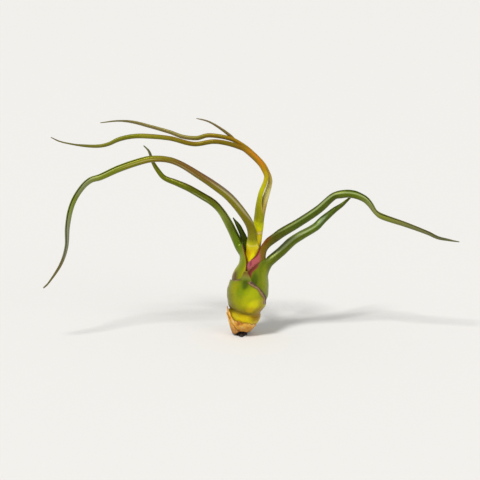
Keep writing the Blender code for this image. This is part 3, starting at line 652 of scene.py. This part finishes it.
def leaf_material(name, settings):
    """Living leaf: a waxy skin over moist tissue, with veins and fine silvery scales.

    The wax gives a soft broad gloss, the moist tissue under it a little depth of colour, and the
    scales a faint grey bloom. The veins run along the leaf. Marks painted on each point lie over
    the tones, painted shade and painted highlights among them.
    """
    material, tree, shader = start_material(f"living leaf cuticle, {name[5:].replace('_', ' ')}")
    place = add_node(tree, "TexCoord").outputs["Object"]
    surface = add_node(tree, "TexCoord").outputs["UV"]
    along = add_node(tree, "Attribute", attribute_name="along").outputs["Fac"]
    margin = add_node(tree, "Attribute", attribute_name="margin").outputs["Fac"]
    marks_with_painted_light = add_node(tree, "Attribute", attribute_name="marks_with_painted_light").outputs

    # Patches of 2 to 5 mm, where the tissue is a little yellower or darker.
    patches = add_node(tree, "TexNoise", {"Vector": place, "Scale": 260.0, "Detail": 3.0})
    patch = patches.outputs["Fac"]
    drift = add_node(tree, "Math", {0: patch, 1: -0.5}, operation="ADD").outputs[0]
    shifted = add_node(tree, "Math", {0: drift, 1: 0.035, 2: along}, operation="MULTIPLY_ADD")
    tones = add_node(tree, "ValToRGB", {"Fac": shifted.outputs[0]}, tone_stops(LEAVES[name]))

    # Veins: about sixty from margin to margin, 0.8 mm apart on the bulb and closer on the blade.
    veins = add_node(tree, "TexWave", {
        "Vector": surface, "Scale": 19.0, "Distortion": 1.2, "Detail": 2.0, "Detail Scale": 0.6,
    }, bands_direction="X").outputs["Fac"]
    furrows = add_node(tree, "Math", {0: veins, 1: settings.vein_contrast}, operation="MULTIPLY")
    # Silvery scales are 0.1 mm wide on the plant, and drawn 0.3 mm wide so that they show.
    scales = add_node(tree, "TexNoise", {"Vector": place, "Scale": 3200.0, "Detail": 2.0})
    dots = add_node(tree, "MapRange", {"Value": scales.outputs["Fac"], "From Min": 0.52,
                                       "From Max": 0.75, "To Max": settings.bloom})
    # The thin drying margin of the sheath, with an uneven inner limit.
    ragged = add_node(tree, "Math", {0: drift, 1: 1.1, 2: margin}, operation="MULTIPLY_ADD")
    band = add_node(tree, "MapRange", {
        "Value": ragged.outputs[0], "From Min": 0.75, "From Max": 1.25, "To Min": 0.95,
        "To Max": 0.0}, interpolation_type="SMOOTHSTEP")
    band_tones = add_node(tree, "ValToRGB", {"Fac": ragged.outputs[0]}, [
        (stop, linear(code)) for stop, code in LEAVES[name]["margin_tones"]])

    # Over the tones go the mottle, the marks painted on each point (the leaf's own marks, with
    # painted shade and painted highlights among them), the veins, the scales and the drying band.
    colour = tones.outputs["Color"]
    for share, over, blend in (
            (drift, opaque(settings.mottle_colour), "MIX"),
            (marks_with_painted_light["Alpha"], marks_with_painted_light["Color"], "MIX"),
            (furrows.outputs[0], opaque(settings.vein_colour), "MULTIPLY"),
            (dots.outputs[0], opaque(settings.scale_colour), "MIX"),
            (band.outputs[0], band_tones.outputs["Color"], "MIX")):
        mixed = add_node(tree, "Mix", {MIX_SHARE: share, MIX_FROM: colour, MIX_TO: over},
                         data_type="RGBA", blend_type=blend)
        colour = mixed.outputs[MIXED]

    gloss = add_node(tree, "MapRange", {"Value": patch, "From Min": 0.3, "From Max": 0.7,
                                        "To Min": settings.roughness - 0.05,
                                        "To Max": settings.roughness + 0.08})
    vein_bump = add_node(tree, "Bump", {"Strength": 0.12, "Distance": 0.0001, "Height": veins})
    skin_bump = add_node(tree, "Bump", {"Strength": 0.2, "Distance": 0.0002, "Height": patch,
                                        "Normal": vein_bump.outputs[0]})
    fill_sockets(tree, shader, {
        "Base Color": colour, "Roughness": gloss.outputs[0], "Normal": skin_bump.outputs[0],
        "IOR": 1.45, "Specular IOR Level": 0.65, "Specular Tint": opaque(linear("#E4EC64")),
        "Subsurface Weight": 0.12, "Subsurface Radius": (0.6, 1.0, 0.25),
        "Subsurface Scale": 0.001})
    return material


def deselect_all():
    """Leaves nothing selected, so that an operator acts on the new piece alone."""
    for item in bpy.context.selected_objects:
        item.select_set(False)


def add_sheet(name, columns, rows):
    """A flat grid primitive of columns by rows faces, to be shaped into a sheet."""
    deselect_all()
    bpy.ops.mesh.primitive_grid_add(x_subdivisions=columns, y_subdivisions=rows, size=2.0)
    item = bpy.context.active_object
    item.name = name
    item.data.name = name
    return item


def store_values(mesh, name, numbers):
    """Gives each point of a mesh a number under a name, for the material to read."""
    values = mesh.attributes.new(name, "FLOAT", "POINT")
    values.data.foreach_set("value", numbers)


def weigh_wall(item, weights):
    """Says for each point how much of the full wall it gets."""
    group = item.vertex_groups.new(name="wall")
    for number, weight in enumerate(weights):
        group.add([number], weight, "REPLACE")


def give_wall(item, thickness, thinnest):
    """Thickens a sheet inwards, thinner where its wall weight is light."""
    wall = item.modifiers.new("Wall", "SOLIDIFY")
    wall.thickness = thickness
    wall.offset = -1
    wall.use_even_offset = False
    wall.vertex_group = "wall"
    wall.thickness_vertex_group = thinnest
    bpy.context.view_layer.objects.active = item
    bpy.ops.object.modifier_apply(modifier=wall.name)


def close_seam(capped):
    """Merges the doubled points of a wrapped grid, and caps its open ends where asked."""
    bpy.ops.object.mode_set(mode="EDIT")
    bpy.ops.mesh.select_all(action="SELECT")
    bpy.ops.mesh.remove_doubles(threshold=WELD_DISTANCE)
    if capped:
        bpy.ops.mesh.fill_holes(sides=0)
        bpy.ops.mesh.normals_make_consistent(inside=False)
    bpy.ops.object.mode_set(mode="OBJECT")


def mark_colour(marks, first, second, colour):
    """A colour and its strength with each oval mark that covers a spot painted over it."""
    for code, strength, middle, reach, round_middle, round_reach in marks:
        away = math.hypot((first - middle) / reach, (second - round_middle) / round_reach)
        share = strength * (1 - smooth_step(MARK_CORE, 1.0, away))
        if share <= 0:
            continue
        covered = colour[3] * (1 - share) + share
        mixed = [old + (new - old) * (share / covered) for old, new in zip(colour, linear(code))]
        colour = (*mixed, covered)
    return colour


def column_share(column, columns):
    """Share of the way from one margin to the other, with columns closer at the margins."""
    even = column / columns
    return EVEN_COLUMNS * even + (1 - EVEN_COLUMNS) * (1 - math.cos(math.pi * even)) / 2


def bulb_point(leaf, centre, radius, direction):
    """Point of a sheath, on the profile with its slanting crease."""
    azimuth = math.degrees(math.atan2(direction.y, direction.x))
    height, cut = creased(centre.z, azimuth)
    layer = leaf["layer"] - table_value(leaf["swell"], centre.z)
    change = sheath_radius(layer, height) - sheath_radius(layer, centre.z) - cut
    return centre + direction * (radius + change)


def smooth_neck(rows):
    """Evens the rows where a sheath bends over into its blade, so that they don't fold."""
    necks = [n for n, (place, _row) in enumerate(rows) if NECK_SPAN[0] < place < NECK_SPAN[1]]
    necks = [n for n in necks if 0 < n < len(rows) - 1]
    for _turn in range(NECK_PASSES):
        for n in necks:
            below, row, above = rows[n - 1][1], rows[n][1], rows[n + 1][1]
            row[:] = [((before + point * 2 + after) / 4, direction)
                      for (point, direction), (before, _low), (after, _high)
                      in zip(row, below, above)]


def leaf_points(leaf, settings):
    """Points of a leaf's outer face in rows, with each row's place along the leaf."""
    rings = resample(sheath_stations(leaf) + blade_stations(leaf), settings.ring_step / MM)
    seed = Vector((leaf["layer"] * LAYER_SEED, *RIPPLE_SEED))
    rows = []
    for index, (x, y, z, radius, before, after, _azimuth, place) in enumerate(rings):
        centre = Vector((x, y, z))
        outward, sideways = ring_frame(rings, index)
        row = []
        for column in range(settings.columns + 1):
            share = column_share(column, settings.columns)
            angle = math.radians(-before + (before + after) * share)
            direction = math.cos(angle) * outward + math.sin(angle) * sideways
            ripple = noise.noise(Vector((place * RIPPLE_ALONG, angle * RIPPLE_ROUND, 0)) + seed)
            size = radius * (1 + settings.unevenness * ripple)
            if place <= SHEATH_SHARE:
                point = bulb_point(leaf, centre, size, direction)
            elif z < leaf["free_height"]:
                point = keep_outside(centre + size * direction, leaf)
            else:
                point = centre + size * direction
            row.append((point, direction))
        rows.append((place, row))
    smooth_neck(rows)
    return rows


def margin_tree(rows, side):
    """Search tree of a margin's points: side 0 for the first column, -1 for the last."""
    tree = KDTree(len(rows))
    for number, (_place, row) in enumerate(rows):
        tree.insert(row[side][0], number)
    tree.balance()
    return tree


def band_place(spans, along, distances):
    """Place in the drying margin as a share of its width, from 0 at the very edge."""
    places = [NO_BAND]
    for side, width, start, end in spans:
        fade_in = smooth_step(start - BAND_FADE, start, along)
        local_width = width * (fade_in * (1 - smooth_step(end, end + BAND_FADE, along)))
        distance = min(distances) if side == 0 else distances[0 if side < 0 else 1]
        if local_width > LEAST_BAND:
            places.append(distance / local_width)
    return min(places)


def leaf_surface(leaf, settings):
    """Points of a leaf's outer face with the values that they carry, and its rows of faces."""
    rows = leaf_points(leaf, settings)
    margins = margin_tree(rows, 0), margin_tree(rows, -1)
    share = SHEATH_SHARE if leaf["blade"] else 1.0
    spots = []
    for place, row in rows:
        along = place if leaf["blade"] else place / SHEATH_SHARE
        row_number = (place - SHEATH_SHARE) / (1 - SHEATH_SHARE) * len(leaf["blade"])
        for point, direction in row:
            colour = (0.0, 0.0, 0.0, 0.0)
            # Marks painted over the leaf, painted shade and painted highlights among them.
            if along > share:
                colour = mark_colour(leaf["blade_marks_and_painted_light"], row_number, direction.z, colour)
            offset = point - axis_point(point.z)
            if offset.length < BULB_REACH:
                azimuth = math.degrees(math.atan2(offset.y, offset.x)) % 360
                colour = mark_colour(leaf["sheath_marks_and_painted_light"], point.z, azimuth, colour)
            distances = [tree.find(point)[2] for tree in margins]
            spots.append((point * MM, along, min(distances),
                          band_place(leaf["margins"], along, distances), colour))
    return spots, len(rows) - 1


def wall_weight(leaf, along, edge):
    """How much of its full wall a leaf has, by place along it and distance from a margin."""
    in_blade = 0
    if leaf["blade"]:
        in_blade = smooth_step(SHEATH_SHARE, SHEATH_SHARE + BLADE_WALL_SPAN, along)
    tip = 1 - smooth_step(TIP_START, 1.0, along) * TIP_THINNING
    return max(smooth_step(*MARGIN_TAPER, edge), in_blade) * tip


def make_leaf(name, settings):
    """One leaf from a grid: shaped, given its values for the material, and thickened."""
    leaf = LEAVES[name]
    spots, rows = leaf_surface(leaf, settings)
    points, alongs, edges, margins, colours = zip(*spots)
    item = add_sheet(name.replace("leaf", "blade"), settings.columns, rows)
    mesh = item.data
    mesh.vertices.foreach_set("co", [value for point in points for value in point])
    store_values(mesh, "along", alongs)
    store_values(mesh, "edge", edges)
    store_values(mesh, "margin", margins)
    # Colour of the marks painted on each point, painted shade and painted highlights among them.
    marks_with_painted_light = mesh.color_attributes.new("marks_with_painted_light", "FLOAT_COLOR", "POINT")
    marks_with_painted_light.data.foreach_set("color", [value for colour in colours for value in colour])
    weigh_wall(item, [wall_weight(leaf, along, edge) for along, edge in zip(alongs, edges)])
    mesh.shade_smooth()
    give_wall(item, settings.wall, settings.thinnest)
    item.data.materials.append(leaf_material(name, settings))
    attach(item, "root")
    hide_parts(name)


def dry_material(name, settings):
    """Dry leaf sheath: papery dead tissue, fibrous and matt, tan to orange brown."""
    material, tree, shader = start_material(f"dry papery leaf tissue, {name.replace('_', ' ')}")
    place = add_node(tree, "TexCoord").outputs["Object"]
    # Fibres run up the sheath, 0.7 mm apart and finer, so the noise is drawn out along Z.
    stretched = add_node(tree, "Mapping", {"Vector": place, "Scale": (1.0, 1.0, 0.22)})
    fibres = add_node(tree, "TexNoise", {"Vector": stretched.outputs[0], "Scale": 1500.0,
                                         "Detail": 4.0}).outputs["Fac"]
    lines = add_node(tree, "MapRange", {"Value": fibres, "From Min": 0.35, "From Max": 0.65,
                                        "To Max": 0.4})
    # Stains of 2 to 4 mm.
    stains = add_node(tree, "TexNoise", {"Vector": place, "Scale": 300.0, "Detail": 3.0})
    tones = add_node(tree, "ValToRGB", {"Fac": stains.outputs["Fac"]}, [
        (0.3, linear("#B4701E")), (0.42, linear("#E09E2E")), (0.54, linear("#F4BA3C")),
        (0.7, linear("#F8D488"))])
    # Browner at the foot, up to 3.5 mm high and fading by 6.5 mm.
    height = add_node(tree, "SeparateXYZ", {"Vector": place}).outputs["Z"]
    low_browning = add_node(tree, "MapRange", {"Value": height, "From Min": 0.0035, "From Max": 0.0065,
                                       "To Min": 0.65, "To Max": 0.0})
    edge = add_node(tree, "Attribute", attribute_name="edge").outputs["Fac"]
    rim = add_node(tree, "MapRange", {"Value": edge, "From Min": 0.05, "From Max": 0.5,
                                      "To Min": 0.7, "To Max": 0.0})
    colour = tones.outputs["Color"]
    for share, over, blend in (
            (lines, opaque(settings.fibre_colour), "MULTIPLY"),
            (low_browning, opaque(linear("#9A6022")), "MIX"),
            (rim, opaque(settings.rim_colour), "MIX")):
        mixed = add_node(tree, "Mix", {MIX_SHARE: share.outputs[0], MIX_FROM: colour, MIX_TO: over},
                         data_type="RGBA", blend_type=blend)
        colour = mixed.outputs[MIXED]
    bump = add_node(tree, "Bump", {"Strength": 0.5, "Distance": 0.0003, "Height": fibres})
    fill_sockets(tree, shader, {
        "Base Color": colour, "Normal": bump.outputs[0], "Roughness": 0.62, "IOR": 1.45,
        "Subsurface Weight": 0.15, "Subsurface Scale": 0.0008})
    return material


def wrap_point(height, azimuth, lift):
    """Point of the dry sheath, a little crumpled, with its rim splayed on the ground behind."""
    outward = axis_outward(height, azimuth)
    crumple = CRUMPLE_DEPTH * random_wave(outward, 5, height, 0.35)
    fold = FOLD_DEPTH * random_wave(outward, 14, height, 0.12, 3)
    radius = table_value(DRY_PROFILE, height) + lift + crumple + fold
    radius += table_value(DRY_SPLAY, azimuth) * max(1 - height / SPLAY_HEIGHT, 0)
    return axis_point(height) + DRY_LEAN + outward * radius


def make_dry_layer(name, rims, span, lift, settings):
    """A layer of the papery sheath: a grid wrapped round the foot, with torn rims."""
    columns, rows = settings.dry_columns, settings.dry_rows
    item = add_sheet(name, columns, rows)
    start, end = span
    closed = end - start == 360
    points, edges = [], []
    for row in range(rows + 1):
        share = row / rows
        for column in range(columns + 1):
            azimuth = start + (end - start) * column / columns
            spot = round_point(azimuth, lift)
            tear = noise.noise(spot * TEAR_WAVES[0]) + 0.5 * noise.noise(spot * TEAR_WAVES[1])
            foot = table_value(rims[0], azimuth) + FOOT_TEAR * max(tear, 0)
            top = table_value(rims[1], azimuth) + settings.tear_depth / MM * tear
            height = foot + max(top - foot, LEAST_STRIP) * share
            points.extend(wrap_point(height, azimuth, lift) * MM)
            to_rim = (top - foot) * min(share, 1 - share)
            to_end = min(azimuth - start, end - azimuth) * DEGREE_LENGTH
            edges.append(to_rim if closed else min(to_rim, to_end))
    item.data.vertices.foreach_set("co", points)
    store_values(item.data, "edge", edges)
    weigh_wall(item, [smooth_step(*DRY_TAPER, edge) for edge in edges])
    if closed:
        close_seam(capped=False)
    item.data.shade_smooth()
    give_wall(item, settings.dry_wall, DRY_THINNEST)
    item.data.materials.append(dry_material(name, settings))
    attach(item, "root")
    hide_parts("sheath_dry_basal")


def stem_material(settings):
    """Dead root stub: dry wood fibre, nearly black, and rough with a grain of 0.7 mm."""
    material, tree, shader = start_material("dry woody stem stub")
    place = add_node(tree, "TexCoord").outputs["Object"]
    grain = add_node(tree, "TexNoise", {"Vector": place, "Scale": 1400.0,
                                        "Detail": 5.0}).outputs["Fac"]
    tones = add_node(tree, "ValToRGB", {"Fac": grain}, [
        (0.35, settings.stem_colour), (0.75, linear("#3A2414"))])
    bump = add_node(tree, "Bump", {"Strength": 0.8, "Distance": 0.0004, "Height": grain})
    fill_sockets(tree, shader, {"Base Color": tones.outputs["Color"], "Normal": bump.outputs[0],
                                "Roughness": 0.75})
    return material


def make_stem(settings):
    """The stub of stem and roots: a grid wrapped round, roughened into fibres and capped."""
    columns = settings.stub_columns
    item = add_sheet("woody_stem_stub", columns, STUB_ROWS)
    points = []
    for row in range(STUB_ROWS + 1):
        height = STUB_TOP * (row / STUB_ROWS) ** STUB_CROWDING
        for column in range(columns + 1):
            azimuth = 360 * (column % columns) / columns
            outward = round_point(azimuth, 0)
            reach = table_value(TOE_REACH, azimuth) * table_value(TOE_SHARE, height)
            fibre = random_wave(outward, 9, height, 0.5)
            lump = random_wave(outward, 3, height, 0.9, 5)
            rough = settings.stub_roughness / MM * (fibre + 0.8 * lump - 0.5)
            radius = table_value(STEM_PROFILE, height) + reach + rough
            points.extend((outward * radius + Vector((0, 0, height))) * MM)
    item.data.vertices.foreach_set("co", points)
    close_seam(capped=True)
    item.data.shade_smooth()
    item.data.materials.append(stem_material(settings))
    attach(item, "root")
    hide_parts("stem_stub")


def length_setting(name, description, millimetres):
    """A length that a user can change."""
    return FloatProperty(name=name, description=description, default=millimetres * MM,
                         unit="LENGTH", precision=5)


def share_setting(name, description, default):
    """A share from none to all that a user can change."""
    return FloatProperty(name=name, description=description, default=default,
                         subtype="FACTOR", min=0, max=1)


def colour_setting(name, description, code):
    """A colour that a user can change."""
    return FloatVectorProperty(name=name, description=description, default=linear(code),
                               subtype="COLOR")


class LeafSettings(bpy.types.PropertyGroup):
    """Sizes and colours of the living leaves."""
    wall: length_setting("Leaf wall", "Thickness of a leaf at its middle", 0.58)
    thinnest: share_setting("Margin thickness", "Share of the wall left at a margin", 0.3)
    ring_step: length_setting("Ring step", "Distance between rings along a leaf", 0.8)
    columns: IntProperty(name="Columns", description="Faces from one margin to the other",
                         default=44)
    unevenness: share_setting("Unevenness", "How much the section swells and shrinks", 0.03)
    roughness: share_setting("Roughness", "How broad the wax's gloss is", 0.28)
    bloom: share_setting("Bloom", "How much the silvery scales show", 0.07)
    vein_contrast: share_setting("Vein contrast", "How dark the veins' furrows are", 0.14)
    mottle_colour: colour_setting("Mottle", "Colour that patches lean to", "#6E7A14")
    vein_colour: colour_setting("Vein furrow", "Colour that furrows are shaded by", "#7E8A50")
    scale_colour: colour_setting("Scales", "Colour of the silvery scales", "#B4BCA8")


class FootSettings(bpy.types.PropertyGroup):
    """Sizes and colours of the dry sheath and the stem stub."""
    dry_wall: length_setting("Paper thickness", "Thickness of the dry sheath", 0.3)
    tear_depth: length_setting("Tear depth", "How deep the torn rim is cut", 1.2)
    dry_columns: IntProperty(name="Columns", description="Faces round the dry sheath", default=180)
    dry_rows: IntProperty(name="Rows", description="Faces up the dry sheath", default=18)
    fibre_colour: colour_setting("Fibres", "Colour that fibres are shaded by", "#B88A54")
    rim_colour: colour_setting("Torn rim", "Colour of the torn rim", "#6A3A1C")
    stub_columns: IntProperty(name="Stub columns", description="Faces round the stem stub",
                              default=96)
    stub_roughness: length_setting("Stub roughness", "How far fibres stand out", 0.5)
    stem_colour: colour_setting("Stem", "Colour of the dead stem", "#140A04")


class StageSettings(bpy.types.PropertyGroup):
    """Floor, light and camera."""
    floor_colour: colour_setting("Floor", "Colour of the floor", "#DCDAD6")
    sky_strength: FloatProperty(name="Surround", description="Strength of the even light all round",
                                default=0.5)
    key_strength: FloatProperty(name="Key light", default=2.45,
                                description="Strength of the soft light from above")
    elevation: FloatProperty(name="Camera elevation", description="Angle above the horizon",
                             default=VIEW_TILT, subtype="ANGLE")
    distance: length_setting("Camera distance", "Distance from the plant's middle", VIEW_DISTANCE)


class PLANT_OT_bulb_leaf(bpy.types.Operator):
    """Models the outer bulb leaf, which has lost its blade"""
    bl_idname = "plant.bulb_leaf"
    bl_label = "Bulb Leaf"

    def execute(self, context):
        make_leaf("leaf_front_bulb", context.scene.plant_leaves)
        return {"FINISHED"}


class PLANT_OT_side_leaves(bpy.types.Operator):
    """Models the five leaves that arch out to both sides"""
    bl_idname = "plant.side_leaves"
    bl_label = "Side Leaves"

    def execute(self, context):
        for name in ("leaf_right_low", "leaf_left_low", "leaf_right_high", "leaf_back_short",
                     "leaf_left_high"):
            make_leaf(name, context.scene.plant_leaves)
        return {"FINISHED"}


class PLANT_OT_crown_leaves(bpy.types.Operator):
    """Models the three young leaves of the crown"""
    bl_idname = "plant.crown_leaves"
    bl_label = "Crown Leaves"

    def execute(self, context):
        for name in ("leaf_crown_outer", "leaf_crown_middle", "leaf_crown_inner"):
            make_leaf(name, context.scene.plant_leaves)
        return {"FINISHED"}


class PLANT_OT_dry_sheath(bpy.types.Operator):
    """Models the papery sheath round the foot"""
    bl_idname = "plant.dry_sheath"
    bl_label = "Dry Sheath"

    def execute(self, context):
        foot = context.scene.plant_foot
        make_dry_layer("dry_basal_sheath", (DRY_FOOT_RIM, DRY_TOP_RIM), (0, 360), 0, foot)
        scrap_span = SCRAP_TOP_RIM[0][0], SCRAP_TOP_RIM[-1][0]
        make_dry_layer("dry_basal_scrap", (SCRAP_FOOT_RIM, SCRAP_TOP_RIM), scrap_span, SCRAP_LIFT,
                       foot)
        return {"FINISHED"}


class PLANT_OT_stem(bpy.types.Operator):
    """Models the stub of stem and roots"""
    bl_idname = "plant.stem"
    bl_label = "Stem Stub"

    def execute(self, context):
        make_stem(context.scene.plant_foot)
        return {"FINISHED"}


class PLANT_OT_stage(bpy.types.Operator):
    """Sets up the floor, the lights and the camera"""
    bl_idname = "plant.stage"
    bl_label = "Stage"

    def execute(self, context):
        make_stage(context.scene.plant_stage)
        return {"FINISHED"}


class PLANT_PT_panel(bpy.types.Panel):
    """Lists the plant's settings and its operators"""
    bl_label = "Air Plant"
    bl_idname = "PLANT_PT_panel"
    bl_space_type = "VIEW_3D"
    bl_region_type = "UI"
    bl_category = "Air Plant"

    def draw(self, context):
        scene = context.scene
        for title, settings in (("Leaves", scene.plant_leaves), ("Foot", scene.plant_foot),
                                ("Stage", scene.plant_stage)):
            box = self.layout.box()
            box.label(text=title)
            for name in settings.__annotations__:
                box.prop(settings, name)
        for operator in OPERATORS:
            self.layout.operator(operator.bl_idname)


def make_stage(settings):
    """Pale floor, soft light from the upper left and all round, and the camera in front."""
    deselect_all()
    bpy.ops.mesh.primitive_plane_add(size=FLOOR_SIZE)
    floor = bpy.context.active_object
    floor.name = "floor"
    material, tree, shader = start_material("matt pale floor")
    fill_sockets(tree, shader, {"Base Color": opaque(settings.floor_colour), "Roughness": 0.9})
    floor.data.materials.append(material)

    scene = bpy.context.scene
    scene.view_settings.view_transform = "Standard"
    scene.world = bpy.data.worlds.new("soft surround")
    scene.world.use_nodes = True
    tree = scene.world.node_tree
    fill_sockets(tree, tree.nodes["Background"], {"Color": opaque((1.0, 1.0, 1.0)),
                                                  "Strength": settings.sky_strength})

    for name, (strength, spread, direction) in LIGHTS.items():
        lamp = bpy.data.lights.new(name, "SUN")
        lamp.energy = settings.key_strength * strength
        lamp.angle = math.radians(spread)
        item = bpy.data.objects.new(name, lamp)
        item.rotation_euler = Vector(direction).to_track_quat("-Z", "Y").to_euler()
        scene.collection.objects.link(item)

    lens = bpy.data.cameras.new("camera")
    lens.sensor_width, lens.lens, lens.clip_start = SENSOR, LENS, NEAREST
    camera = bpy.data.objects.new("camera", lens)
    tilt = settings.elevation
    centre = Vector([value * MM for value in VIEW_CENTRE])
    camera.location = centre - Vector((0, math.cos(tilt), -math.sin(tilt))) * settings.distance
    camera.rotation_euler = (math.pi / 2 - tilt, 0, 0)
    scene.collection.objects.link(camera)
    bpy.context.scene.camera = camera


SETTINGS = (LeafSettings, FootSettings, StageSettings)
OPERATORS = (PLANT_OT_bulb_leaf, PLANT_OT_side_leaves, PLANT_OT_crown_leaves, PLANT_OT_dry_sheath,
             PLANT_OT_stem, PLANT_OT_stage)


def register():
    """Registers the settings, the operators and the panel."""
    for kind in (*SETTINGS, *OPERATORS, PLANT_PT_panel):
        bpy.utils.register_class(kind)
    bpy.types.Scene.plant_leaves = PointerProperty(type=LeafSettings)
    bpy.types.Scene.plant_foot = PointerProperty(type=FootSettings)
    bpy.types.Scene.plant_stage = PointerProperty(type=StageSettings)


def unregister():
    """Removes what register added."""
    del bpy.types.Scene.plant_stage
    del bpy.types.Scene.plant_foot
    del bpy.types.Scene.plant_leaves
    for kind in reversed((*SETTINGS, *OPERATORS, PLANT_PT_panel)):
        bpy.utils.unregister_class(kind)


def main():
    """Builds the plant and its stage."""
    register()
    bpy.ops.plant.bulb_leaf()
    bpy.ops.plant.side_leaves()
    bpy.ops.plant.crown_leaves()
    bpy.ops.plant.dry_sheath()
    bpy.ops.plant.stem()
    bpy.ops.plant.stage()


if __name__ == "__main__":
    main()
